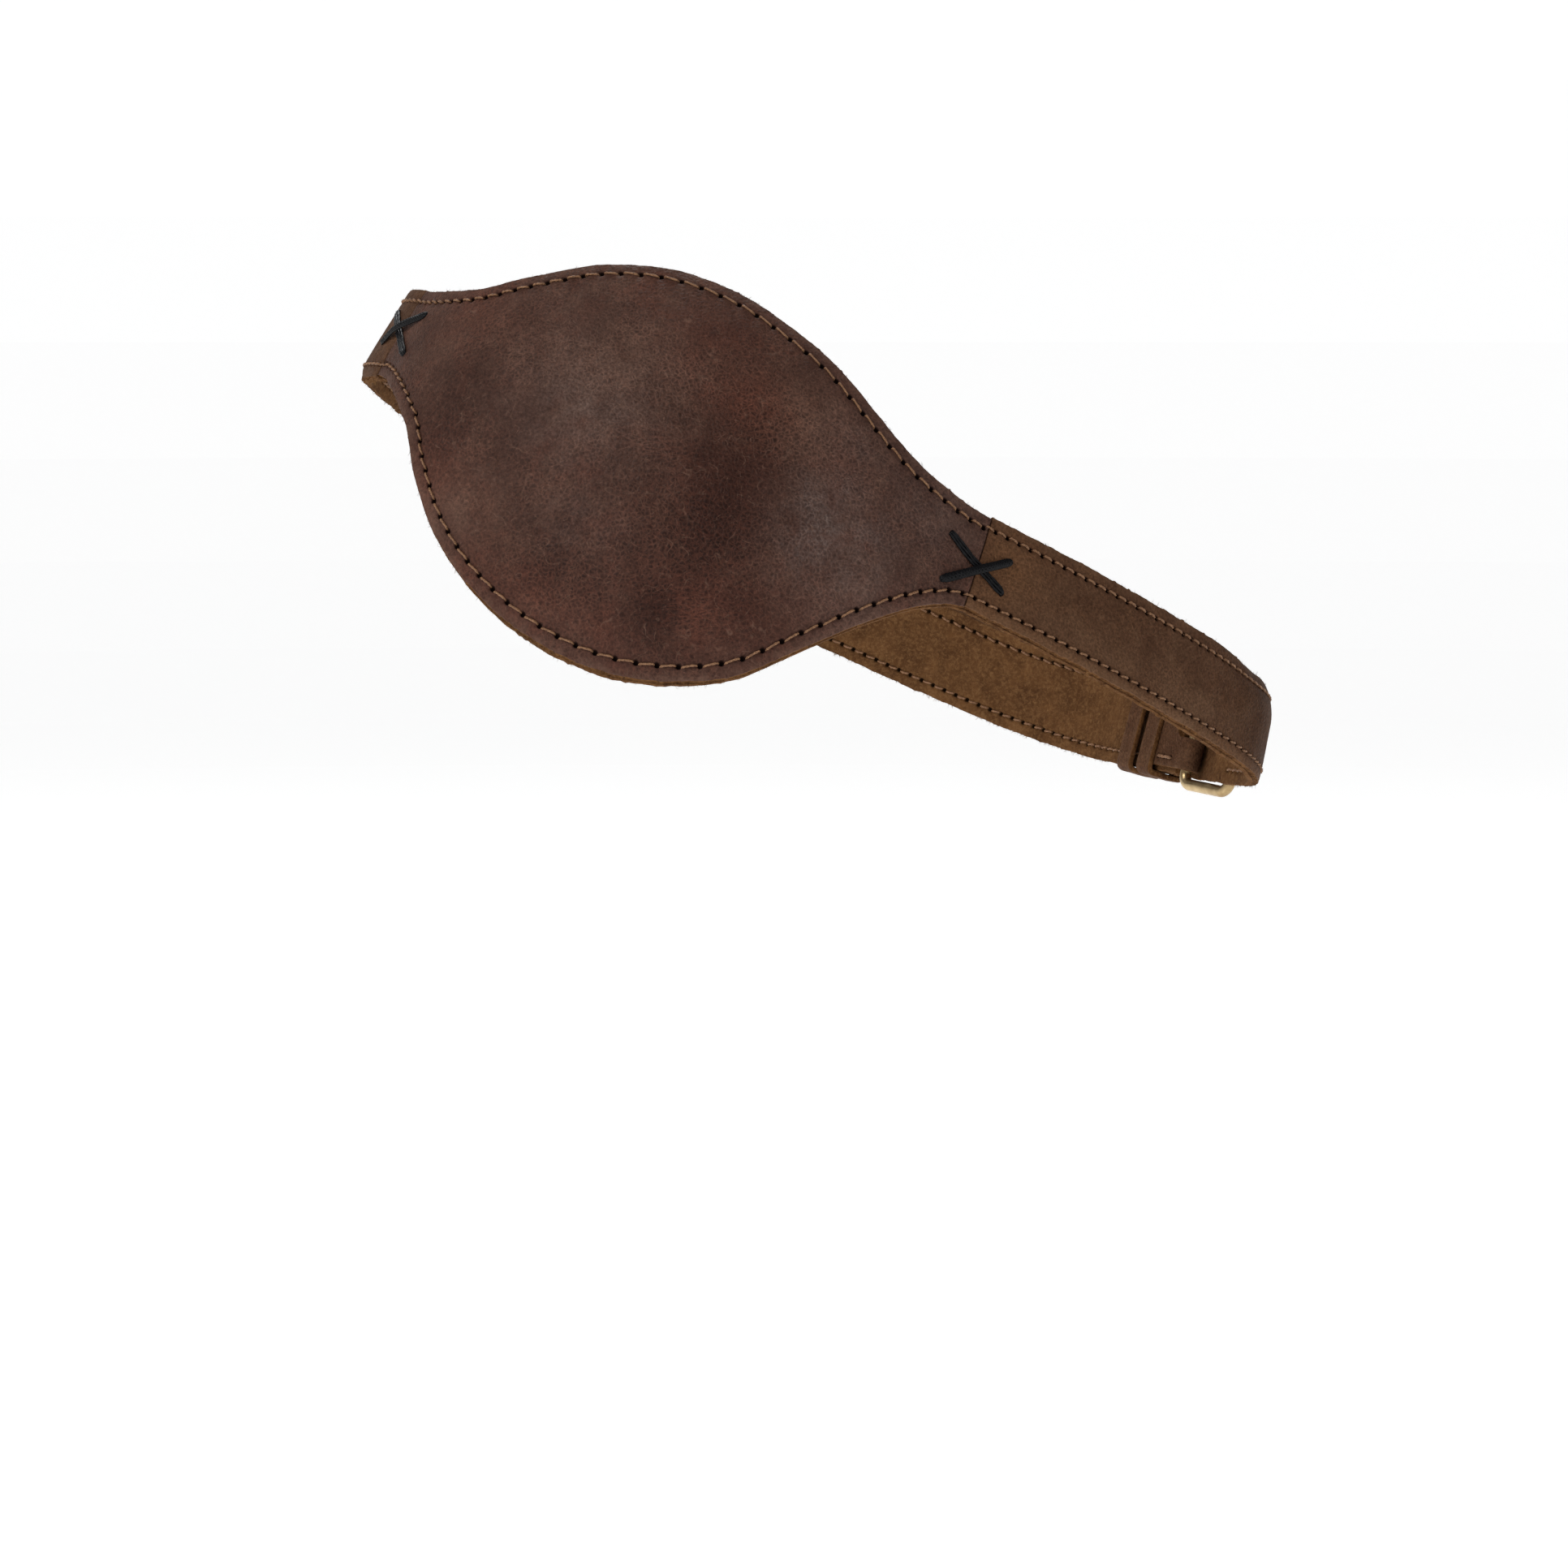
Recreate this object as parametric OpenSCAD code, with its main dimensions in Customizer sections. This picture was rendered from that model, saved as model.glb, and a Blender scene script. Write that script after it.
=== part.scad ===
// Leather eye patch for the wearer's left eye, on a stitched strap with a small buckle behind the head.
// It is drawn as worn on an upright head: -Y is the way the face looks, +X the wearer's left, +Z up.
// The origin is the centre of the ring that the strap makes round the head.

/* [Ring round the head] */
// Bend radius across the brow
brow_r = 43; // [38:1:50]
// Angle that the brow bend turns through
brow_turn = 34; // [28:1:40]
// Bend radius along the temple and over the ear
side_r = 127; // [110:1:140]
// Angle that the side bend turns through
side_turn = 85; // [80:1:88]
// Bend radius at the back corners of the head
back_r = 41; // [38:1:44]
// How far the front of the ring is lifted above the back, in degrees
pitch = 26; // [15:1:35]
// Inward lean of the band's top edge at the brow
lean_front = 6; // [0:1:10]
// Inward lean of the band's top edge at the temple
lean_side = 19; // [5:1:22]
// Inward lean of the band's top edge at the back
lean_back = 10; // [0:1:15]

/* [Leather] */
// Width of the strap
strap_w = 20; // [18:0.5:20]
// Thickness of the face leather
face_t = 1.3; // [1.1:0.1:1.3]
// Thickness of the lining leather
lining_t = 1.2; // [1.1:0.1:1.3]
// Thickness of the glue line between the two layers
glue_t = 0.1; // [0.05:0.05:0.2]
// Height of the patch's moulded dome
dome = 8; // [2:0.5:9]
// Distance from an edge to its row of stitches
seam_inset = 2.6; // [2:0.1:3.2]
// Diameter of the sewing thread
thread_d = 0.7; // [0.4:0.1:0.8]
// Width of the black lace of the two crosses
lace_d = 1.6; // [1:0.1:2]

/* [Buckle] */
// Wire diameter of the buckle's frame
wire_d = 2.5; // [2:0.1:2.5]
// Distance between the heel bar and the front bar
frame_len = 16; // [15:0.5:17]
// Wire diameter of the prong
prong_d = 1.6; // [1.2:0.1:1.6]
// Distance between the punched holes
hole_pitch = 12; // [11:0.5:13]
// Length of a punched hole
hole_len = 7.6; // [7.4:0.1:8]
// Width of a punched hole
hole_w = 2.8; // [2.6:0.1:3.2]
// Thickness of the leather of the tab and the keepers
tab_t = 1.2; // [1:0.1:1.2]

/* [Hidden] */
$fn = 48;

dark_leather = "#52352c";
strap_leather = "#573b2a";
flesh_side = "#7d5629";
tan_thread = "#9a6436";
black_lace = "#1e1f22";
metal = "#8d7444";

// Ring: three bends and a flat on each side, measured along s from the middle of the brow.
// Positive s runs round the wearer's left side.
s_brow = brow_r * brow_turn * PI / 180;
s_side = s_brow + side_r * side_turn * PI / 180;
back_turn = 180 - brow_turn - side_turn;
s_back = s_side + back_r * back_turn * PI / 180;
turn_side = brow_turn + side_turn;
p_brow = brow_r * sin(brow_turn);
q_brow = brow_r * (1 - cos(brow_turn));
p_side = p_brow + side_r * (sin(turn_side) - sin(brow_turn));
q_side = q_brow + side_r * (cos(brow_turn) - cos(turn_side));
p_back = p_side - back_r * sin(turn_side);
q_back = q_side + back_r * (cos(turn_side) + 1);
s_half = s_back + p_back;

// Stations along s where the leather pieces begin and end
s_brow_joint = 4;
s_temple_joint = 139.5;
half_w = strap_w / 2;
total_t = face_t + glue_t + lining_t;
brow_drop = -1.2;
step = 5;
lace_t = 0.9;

// Upper and lower edge of the patch, as [s, height] pairs joined by smooth curves
upper_edge = [[4, 8.7], [23, 10], [35.5, 16.9], [46, 24], [58, 28.8], [70, 30],
    [80, 28.9], [97, 23.6], [114.5, 14.2], [124, 10.9], [139.5, 9.7]];
lower_edge = [[4, -10.9], [15, -13.8], [25, -20.7], [32.4, -29.7], [40.4, -38], [51.4, -44.9],
    [65, -49.4], [80, -50.7], [94, -48], [105, -42.4], [113.4, -33.4], [122.2, -23.2],
    [131.5, -14.2], [139.5, -10.2]];
dome_mid = -2;
dome_half = 36;
patch_cols = 34;
patch_rows = 16;

// Buckle layout, in the flat at the back of the ring: x towards the wearer's right, z away from the head
bar_gap = 0.05;
heel_x = -8;
heel_z = -total_t / 2;
front_bar_z = wire_d / 2 + 0.15;
front_x = heel_x - frame_len;
frame_tilt = asin((front_bar_z - heel_z) / frame_len);
frame_half = half_w + 0.5 + wire_d / 2;
tab_half = half_w - 1;
tab_end = 9;
tab_slot_half = 2.2;
prong_eye_half = 1.6;
prong_eye_r = 2.2;
strap_end_x = heel_x + prong_eye_r + 0.4;
billet_rise = tab_t + thread_d + 1.1;
billet_rise_from = -23;
billet_rise_len = 16;
billet_tip_x = 27.5;
billet_round = 9;
lining_end_x = -27;
hole_x = -9.25;
keeper_w = 6;
fixed_keeper_x = 6;
sliding_keeper_x = 16;
keeper_gap = 0.3;

function smooth(t) = let(u = min(max(t, 0), 1)) (1 - cos(180 * u)) / 2;

// Heading of the ring at s, in degrees: 0 across the brow, 90 at the side, 180 at the back
function heading(s) =
    let(a = abs(s))
    sign(s) * (a < s_brow ? a / brow_r * 180 / PI
        : a < s_side ? brow_turn + (a - s_brow) / side_r * 180 / PI
        : a < s_back ? turn_side + (a - s_side) / back_r * 180 / PI
        : 180);

// Point of the ring's middle line at s
function centre(s) =
    let(a = abs(s), h = abs(heading(s)))
    let(pq = a < s_brow ? [brow_r * sin(h), brow_r * (1 - cos(h))]
        : a < s_side ? [p_brow + side_r * (sin(h) - sin(brow_turn)), q_brow + side_r * (cos(brow_turn) - cos(h))]
        : a < s_back ? [p_side + back_r * (sin(h) - sin(turn_side)), q_side + back_r * (cos(turn_side) - cos(h))]
        : [p_back - (a - s_back), q_back])
    [(s < 0 ? -1 : 1) * pq[0], pq[1] - q_back / 2, 0];

function lean(s) =
    let(h = abs(heading(s)))
    h < 90 ? lean_front + (lean_side - lean_front) * smooth(h / 90)
        : lean_side + (lean_back - lean_side) * smooth((h - 90) / 90);

function outward(s) = let(h = heading(s), l = lean(s)) [sin(h) * cos(l), -cos(h) * cos(l), sin(l)];
function upward(s) = let(h = heading(s), l = lean(s)) [-sin(h) * sin(l), cos(h) * sin(l), cos(l)];

// Swell of the patch's dome at station s and height h: it fades out at both joints
function swell(s, h) =
    let(mid = (s_brow_joint + s_temple_joint) / 2, u = (s - mid) / (s_temple_joint - mid))
    abs(u) >= 1 ? 0 : dome * pow(1 - pow(u, 4), 2) * (1 - pow((h - dome_mid) / dome_half, 2));

// Point at station s and height h, set out from the face of the leather by d
function skin(s, h, d) = centre(s) + h * upward(s) + (swell(s, h) + d) * outward(s);

// Smooth curve through a list of points, read at x
function slope(pts, i) =
    i == 0 || i == len(pts) - 1 ? 0
    : (pts[i + 1][1] - pts[i - 1][1]) / (pts[i + 1][0] - pts[i - 1][0]);
function span_of(pts, x, i = 0) = i >= len(pts) - 2 || x < pts[i + 1][0] ? i : span_of(pts, x, i + 1);
function curve(pts, x) =
    let(i = span_of(pts, x), w = pts[i + 1][0] - pts[i][0], t = min(max((x - pts[i][0]) / w, 0), 1))
    pts[i][1] * (1 + 2 * t) * (1 - t) * (1 - t) + slope(pts, i) * w * t * (1 - t) * (1 - t)
    + pts[i + 1][1] * t * t * (3 - 2 * t) - slope(pts, i + 1) * w * t * t * (1 - t);
function curve_slope(pts, x) = (curve(pts, x + 0.5) - curve(pts, x - 0.5));

// Stations from a to b, no further apart than gap
function stations(a, b, gap) = let(n = ceil(abs(b - a) / gap)) [for (i = [0 : n]) a + (b - a) * i / n];

// Drop of the strap's middle line where it meets the patch over the nose
function drop(s) = brow_drop * smooth((s + 30) / (30 + s_brow_joint));

// Lift of the billet where it climbs over the buckle's heel bar
function billet_lift(s) = billet_rise * smooth((s - s_half - billet_rise_from) / billet_rise_len);
function billet_half(s) =
    let(u = (s - s_half - billet_tip_x + billet_round) / billet_round)
    u <= 0 ? half_w : half_w * sqrt(1 - u * u);

// Closed solid through rings of points, all with the same number of points
module swept(rings) {
    n = len(rings[0]);
    last = len(rings) - 1;
    polyhedron(
        points = [for (r = rings) each r],
        faces = [
            [for (k = [0 : n - 1]) n - 1 - k],
            [for (k = [0 : n - 1]) last * n + k],
            for (i = [0 : last - 1]) for (k = [0 : n - 1]) each [
                [i * n + k, i * n + (k + 1) % n, (i + 1) * n + (k + 1) % n],
                [i * n + k, (i + 1) * n + (k + 1) % n, (i + 1) * n + k]
            ]
        ],
        convexity = 8
    );
}

// Ring of points round one layer of strap at s: from d_in to d_out off the face
function layer_ring(s, mid, half, d_in, d_out) = [
    skin(s, mid - half, d_in), skin(s, mid + half, d_in),
    skin(s, mid + half, d_out), skin(s, mid - half, d_out)
];

// One layer of the patch, between two distances off its face
module patch_layer(d_in, d_out) {
    cols = stations(s_brow_joint, s_temple_joint, (s_temple_joint - s_brow_joint) / patch_cols);
    heights = [for (s = cols) [for (j = [0 : patch_rows])
        curve(lower_edge, s) + (curve(upper_edge, s) - curve(lower_edge, s)) * j / patch_rows]];
    swept([for (i = [0 : len(cols) - 1]) concat(
        [for (j = [0 : patch_rows]) skin(cols[i], heights[i][j], d_in)],
        [for (j = [0 : patch_rows]) skin(cols[i], heights[i][patch_rows - j], d_out)]
    )]);
}

// Tilts the ring from its own plane to the way it is worn
module worn() {
    rotate([-pitch, 0, 0]) children();
}

// Puts its children in the flat at the back: x towards the wearer's right, y up, z away from the head
module at_back() {
    worn() translate([0, q_back / 2, 0]) rotate([90 - lean_back, 0, 180]) children();
}

// Puts its children at station s of the ring, in the same sense
module at_station(s) {
    translate(centre(s)) rotate([90 - lean(s), 0, heading(s)]) children();
}

// Direction of a path at point i, turned a quarter in the leather's surface
function side_of(path, i) =
    let(a = path[max(i - 1, 0)], b = path[min(i + 1, len(path) - 1)], d = [a[1] - b[1], b[0] - a[0]])
    d / norm(d);

// Four-sided thread along a list of [s, height, distance off the face] points
module thread_along(path, width, thick) {
    swept([for (i = [0 : len(path) - 1])
        let(p = path[i], w = side_of(path, i) * width / 2) [
            skin(p[0] - w[0], p[1] - w[1], p[2]), skin(p[0], p[1], p[2] - thick / 2),
            skin(p[0] + w[0], p[1] + w[1], p[2]), skin(p[0], p[1], p[2] + thick / 2)
        ]]);
}

// Face thread and lining thread of one row of stitches, both as [s, height] lists
module seam(row) {
    sunk = thread_d / 4;
    worn() color(tan_thread) {
        thread_along([for (p = row) [p[0], p[1], sunk]], thread_d, thread_d);
        thread_along([for (p = row) [p[0], p[1], -total_t - sunk]], thread_d, thread_d);
    }
}

// Row of stitches along an edge of the patch; side is -1 under the upper edge, 1 over the lower one
function edge_row(edge, side) = [for (s = stations(s_brow_joint + 1, s_temple_joint - 1, step))
    let(g = curve_slope(edge, s)) [s, curve(edge, s) + side * seam_inset * sqrt(1 + g * g)]];

function strap_row(a, b, side) = [for (s = stations(a, b, step)) [s, drop(s) + side * (half_w - seam_inset)]];

// One strand of lace from one hole to another: height d off the face, its ends sunk into the leather
module strand(a, b, d, arch, end_d) {
    n = 4;
    run = [for (i = [0 : n]) [a[0] + (b[0] - a[0]) * i / n, a[1] + (b[1] - a[1]) * i / n,
        d + arch * sin(180 * i / n)]];
    sink = 0.05 * [b[0] - a[0], b[1] - a[1]];
    thread_along(
        concat([[a[0] - sink[0], a[1] - sink[1], end_d]], run, [[b[0] + sink[0], b[1] + sink[1], end_d]]),
        lace_d, lace_t
    );
}

// Cross of black lace over a butt joint: ends are [s, height] of the four holes
module cross_stitch(ends) {
    proud = lace_t / 3;
    sunk = total_t / 2 - lace_t / 2 - 0.1;
    worn() color(black_lace) {
        strand(ends[0], ends[1], proud, 0, -sunk);
        strand(ends[2], ends[3], proud, lace_t + 0.1, -sunk);
        strand(ends[0], ends[2], -total_t - proud, 0, sunk - total_t);
        strand(ends[1], ends[3], -total_t - proud, 0, sunk - total_t);
    }
}

module patch_front() {
    worn() color(dark_leather) patch_layer(-face_t, 0);
}

module patch_lining() {
    worn() color(flesh_side) patch_layer(-total_t, lining_t - total_t);
}

module patch_upper_seam() {
    seam(edge_row(upper_edge, -1));
}

module patch_lower_seam() {
    seam(edge_row(lower_edge, 1));
}

// Face layer of the strap on the wearer's left: it runs on alone as the billet, with five punched holes
module temple_strap() {
    tip_s = s_half + billet_tip_x;
    cols = concat(
        stations(s_temple_joint, s_half + billet_rise_from, step),
        stations(s_half + billet_rise_from + 2, tip_s - billet_round, 2),
        [for (u = [0.25, 0.45, 0.6, 0.73, 0.84, 0.92, 0.97, 0.99]) tip_s - billet_round * (1 - u)]
    );
    worn() color(strap_leather) difference() {
        swept([for (s = cols) layer_ring(s, 0, billet_half(s), billet_lift(s) - face_t, billet_lift(s))]);
        for (k = [-2 : 2])
            at_station(s_half + hole_x + k * hole_pitch) linear_extrude(height = 20, center = true) punched_hole();
    }
}

module punched_hole() {
    run = (hole_len - hole_w) / 2;
    union() {
        translate([-run, 0]) circle(d = hole_w);
        translate([run, 0]) circle(d = hole_w);
        square([2 * run, hole_w], center = true);
    }
}

module temple_strap_lining() {
    worn() color(flesh_side)
        swept([for (s = stations(s_temple_joint, s_half + lining_end_x, step))
            layer_ring(s, 0, half_w, -total_t, lining_t - total_t)]);
}

module temple_strap_upper_seam() {
    seam(strap_row(s_temple_joint + 1, s_half + lining_end_x - 1, 1));
}

module temple_strap_lower_seam() {
    seam(strap_row(s_temple_joint + 1, s_half + lining_end_x - 1, -1));
}

// One layer of the strap on the wearer's right, from the nose to the buckle
module brow_strap_layer(d_in, d_out) {
    swept([for (s = stations(-s_half + strap_end_x, s_brow_joint, step))
        layer_ring(s, drop(s), half_w, d_in, d_out)]);
}

module brow_strap() {
    worn() color(strap_leather) brow_strap_layer(-face_t, 0);
}

module brow_strap_lining() {
    worn() color(flesh_side) brow_strap_layer(-total_t, lining_t - total_t);
}

module brow_strap_upper_seam() {
    seam(strap_row(-s_half + tab_end + 1, s_brow_joint - 1, 1));
}

module brow_strap_lower_seam() {
    seam(strap_row(-s_half + tab_end + 1, s_brow_joint - 1, -1));
}

module temple_cross_stitch() {
    cross_stitch([[131.2, 2.5], [146.5, -4.5], [133, -7.6], [146, 3]]);
}

module brow_cross_stitch() {
    cross_stitch([[-5, 3.7], [13.5, -6.5], [-3.5, -4], [12.2, 3]]);
}

// Folded leather tab that carries the buckle: both legs grip the end of the brow strap
module buckle_tab() {
    bore_r = wire_d / 2 + bar_gap;
    outer_r = total_t / 2 + tab_t;
    at_back() color(strap_leather) difference() {
        translate([heel_x, 0, heel_z]) rotate([90, 0, 0]) linear_extrude(height = 2 * tab_half, center = true)
            difference() {
                union() {
                    circle(r = outer_r);
                    translate([0, -outer_r]) square([tab_end - heel_x, 2 * outer_r]);
                }
                circle(r = bore_r);
                translate([0, -total_t / 2]) square([tab_end - heel_x + 1, total_t]);
            }
        translate([heel_x - outer_r - 1, -tab_slot_half, heel_z - outer_r - 1])
            cube([outer_r + 1 + prong_eye_r + 1.4, 2 * tab_slot_half, 2 * outer_r + 2]);
    }
}

// Two short rows of thread that hold the tab to the strap
module tab_stitching() {
    stitch_x = [-2.5, 0.5];
    at_back() color(tan_thread) for (side = [-1, 1], x = stitch_x, z = [tab_t, -total_t - tab_t])
        translate([x, side * (tab_half - 2), z]) rotate([0, 90, 0])
            cylinder(d = thread_d, h = 2.4, center = true);
}

// Leather loop round the strap: its hollow runs from z_low to z_high
module keeper(x, z_low, z_high) {
    inner = half_w + keeper_gap;
    translate([x, 0, (z_low + z_high) / 2]) difference() {
        cube([keeper_w, 2 * (inner + tab_t), z_high - z_low + 2 * tab_t], center = true);
        cube([keeper_w + 1, 2 * inner, z_high - z_low], center = true);
    }
}

module fixed_keeper() {
    at_back() color(strap_leather) keeper(fixed_keeper_x, -total_t - tab_t, billet_rise + keeper_gap);
}

module sliding_keeper() {
    at_back() color(strap_leather)
        keeper(sliding_keeper_x, -total_t - thread_d - keeper_gap, billet_rise + keeper_gap);
}

// Rectangular wire frame with bent corners, hinged on its heel bar
module buckle_frame() {
    bend = wire_d;
    at_back() color(metal) translate([heel_x, 0, heel_z]) rotate([0, frame_tilt, 0]) union() {
        for (x = [0, -frame_len])
            translate([x, 0, 0]) rotate([90, 0, 0])
                cylinder(d = wire_d, h = 2 * (frame_half - bend), center = true);
        for (side = [-1, 1])
            translate([-frame_len / 2, side * frame_half, 0]) rotate([0, 90, 0])
                cylinder(d = wire_d, h = frame_len - 2 * bend, center = true);
        for (turn = [0 : 3])
            translate([turn == 1 || turn == 2 ? bend - frame_len : -bend,
                (turn < 2 ? 1 : -1) * (frame_half - bend), 0])
                rotate([0, 0, 90 * turn]) rotate_extrude(angle = 90) translate([bend, 0]) circle(d = wire_d);
    }
}

// Prong: an eye round the heel bar, a steep neck through the billet's hole, and a tongue over the front bar
module buckle_prong() {
    rest_z = front_bar_z + wire_d / 2 + 0.05 - heel_z;
    knee_x = -4.4;
    tip_x = front_x - heel_x - 2.6;
    at_back() color(metal) translate([heel_x, 0, heel_z]) rotate([90, 0, 0]) union() {
        linear_extrude(height = prong_d, center = true) difference() {
            union() {
                circle(r = prong_eye_r);
                polygon([
                    [-prong_eye_r * 0.98, 0], [knee_x - prong_d * 0.6, rest_z + 0.1], [tip_x, rest_z],
                    [tip_x, rest_z + prong_d * 0.6], [tip_x + prong_d * 0.4, rest_z + prong_d],
                    [knee_x + prong_d * 0.1, rest_z + prong_d + 0.1], [0, prong_eye_r * 0.98]
                ]);
            }
            circle(r = wire_d / 2 + bar_gap);
        }
        linear_extrude(height = 2 * prong_eye_half, center = true) difference() {
            circle(r = prong_eye_r);
            circle(r = wire_d / 2 + bar_gap);
        }
    }
}

patch_front();
patch_lining();
patch_upper_seam();
patch_lower_seam();
temple_strap();
temple_strap_lining();
temple_strap_upper_seam();
temple_strap_lower_seam();
brow_strap();
brow_strap_lining();
brow_strap_upper_seam();
brow_strap_lower_seam();
temple_cross_stitch();
brow_cross_stitch();
buckle_tab();
tab_stitching();
fixed_keeper();
sliding_keeper();
buckle_frame();
buckle_prong();
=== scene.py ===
"""Looks of a leather eye patch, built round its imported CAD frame. Lengths are in millimetres until skin()."""
import math
import random

import bmesh
import bpy
import numpy as np
from mathutils import Matrix, Vector, noise


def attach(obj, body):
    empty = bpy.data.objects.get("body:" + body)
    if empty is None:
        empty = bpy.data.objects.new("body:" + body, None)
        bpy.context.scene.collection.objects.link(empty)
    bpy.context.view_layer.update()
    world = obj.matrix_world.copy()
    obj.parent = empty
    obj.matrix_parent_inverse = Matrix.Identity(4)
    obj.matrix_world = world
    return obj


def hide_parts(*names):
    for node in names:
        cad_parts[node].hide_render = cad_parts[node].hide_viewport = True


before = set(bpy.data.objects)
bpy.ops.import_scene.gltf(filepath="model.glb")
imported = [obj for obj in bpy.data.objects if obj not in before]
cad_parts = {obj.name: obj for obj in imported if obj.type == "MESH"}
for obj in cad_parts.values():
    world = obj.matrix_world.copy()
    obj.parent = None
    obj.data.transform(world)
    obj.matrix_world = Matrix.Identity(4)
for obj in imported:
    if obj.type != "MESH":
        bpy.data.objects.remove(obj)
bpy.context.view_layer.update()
random.seed(7)

# -------------------- ring round the head, in millimetres
MM = 0.001
# Bends from the brow to the straight run at the back: (radius, turn)
BENDS = [(43.0, math.radians(34)), (127.0, math.radians(85)), (41.0, math.radians(61))]
PITCH = math.radians(26)
LEAN_FRONT, LEAN_SIDE, LEAN_BACK = math.radians(6), math.radians(19), math.radians(10)
HALF_W = 10.0
FACE_T, LINING_T = 1.3, 1.3  # the lining is 1.2 of leather and 0.1 of glue line
TOTAL_T = FACE_T + LINING_T
SEAM_INSET = 2.6
DOME, DOME_MID, DOME_HALF = 8.0, -2.0, 36.0
S_BROW_JOINT, S_TEMPLE_JOINT = 4.0, 139.5
JOINT_GAP, JOINT_GROOVE = 0.03, 0.22
BROW_DROP = -1.2
# Margins that curl in: by how much, from which height, and (start, run, end, fade) along the band
CURL, CURL_LOW, CURL_SPAN = 2.6, 2.0, (200.0, 24.0, 246.0, 12.0)
BROW_CURL, BROW_CURL_LOW, BROW_CURL_SPAN = 0.8, 7.2, (-36.0, 14.0, -6.0, 9.0)

UPPER_EDGE = [(4, 8.7), (23, 10), (35.5, 16.9), (46, 24), (58, 28.8), (70, 30),
              (80, 28.9), (97, 23.6), (114.5, 14.2), (124, 10.9), (139.5, 9.7)]
LOWER_EDGE = [(4, -10.9), (15, -13.8), (25, -20.7), (32.4, -29.7), (40.4, -38), (51.4, -44.9),
              (65, -49.4), (80, -50.7), (94, -48), (105, -42.4), (113.4, -33.4), (122.2, -23.2),
              (131.5, -14.2), (139.5, -10.2)]

# Buckle, in the flat at the back: x towards the wearer's right, y up, z away from the head
WIRE_R, FRAME_LEN, FRAME_HALF = 1.25, 16.0, 11.75
HEEL_X, HEEL_Z = -8.0, -TOTAL_T / 2
FRONT_X, FRONT_Z = HEEL_X - FRAME_LEN, WIRE_R + 0.15
TAB_T, TAB_HALF, TAB_END = 1.2, 9.0, 9.0
STRAP_END_X = HEEL_X + 2.6
BILLET_RISE, BILLET_FROM, BILLET_RUN = 3.0, -23.0, 16.0
BILLET_TIP, BILLET_ROUND = 27.5, 9.0
LINING_END_X = -27.0
HOLE_X, HOLE_PITCH, HOLE_LEN, HOLE_W = -9.0, 12.0, 8.1, 2.8
KEEPER_W, KEEPER_GAP = 6.0, 0.3
FIXED_KEEPER_X, SLIDING_KEEPER_X = 6.0, 16.0


def smooth(t):
    return (1 - np.cos(np.pi * np.clip(t, 0, 1))) / 2


def plateau(x, start, run, end, fade):
    return smooth((x - start) / run) * (1 - smooth((x - end) / fade))


def ring(s):
    """Heading of the ring at station s, and its place in plan from the middle of the brow."""
    rest, before = np.abs(s), 0.0
    turn, p, q = (np.zeros_like(rest) for _ in range(3))
    for radius, bend in BENDS:
        part = np.clip(rest / radius, 0, bend)
        p = p + radius * (np.sin(before + part) - math.sin(before))
        q = q + radius * (math.cos(before) - np.cos(before + part))
        turn = turn + part
        rest = np.maximum(rest - radius * bend, 0)
        before += bend
    p = p - rest
    return np.where(s < 0, -turn, turn), np.where(s < 0, -p, p), q


S_BACK = sum(radius * bend for radius, bend in BENDS)
P_BACK, Q_BACK = (float(value) for value in ring(S_BACK)[1:])
S_HALF = S_BACK + P_BACK


def lean(turn):
    """How far the leather leans back from upright where the ring has turned so far."""
    h = np.abs(turn) / (np.pi / 2)
    return np.where(
        h < 1,
        LEAN_FRONT + (LEAN_SIDE - LEAN_FRONT) * smooth(h),
        LEAN_SIDE + (LEAN_BACK - LEAN_SIDE) * smooth(h - 1),
    )


def swell(s, h):
    """How far the leather stands off the ring: the dome of the patch, less the margins that curl in."""
    mid = (S_BROW_JOINT + S_TEMPLE_JOINT) / 2
    u = np.clip((s - mid) / (S_TEMPLE_JOINT - mid), -1, 1)
    dome = DOME * (1 - u**4) ** 2 * (1 - ((h - DOME_MID) / DOME_HALF) ** 2)
    to_top = np.clip((h - CURL_LOW) / (HALF_W - CURL_LOW), 0, 1)
    back_curl = CURL * plateau(np.abs(s), *CURL_SPAN) * to_top**2
    to_rim = np.clip((-h - BROW_CURL_LOW) / (HALF_W - BROW_CURL_LOW), 0, 1)
    return dome - back_curl - BROW_CURL * plateau(s, *BROW_CURL_SPAN) * to_rim**2


def skin(s, h, d):
    """Points at station s, height h and distance d off the face of the leather: row frame, metres."""
    s, h, d = np.broadcast_arrays(np.asarray(s, float), np.asarray(h, float), np.asarray(d, float))
    turn, p, q = ring(s)
    tip, q = lean(turn), q - Q_BACK / 2
    d = d + swell(s, h)
    sin_t, cos_t, sin_l, cos_l = np.sin(turn), np.cos(turn), np.sin(tip), np.cos(tip)
    x = p + d * sin_t * cos_l - h * sin_t * sin_l
    y = q - d * cos_t * cos_l + h * cos_t * sin_l
    z = d * sin_l + h * cos_l
    cos_p, sin_p = math.cos(PITCH), math.sin(PITCH)
    return np.stack([x, cos_p * y + sin_p * z, -sin_p * y + cos_p * z], -1) * MM


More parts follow.
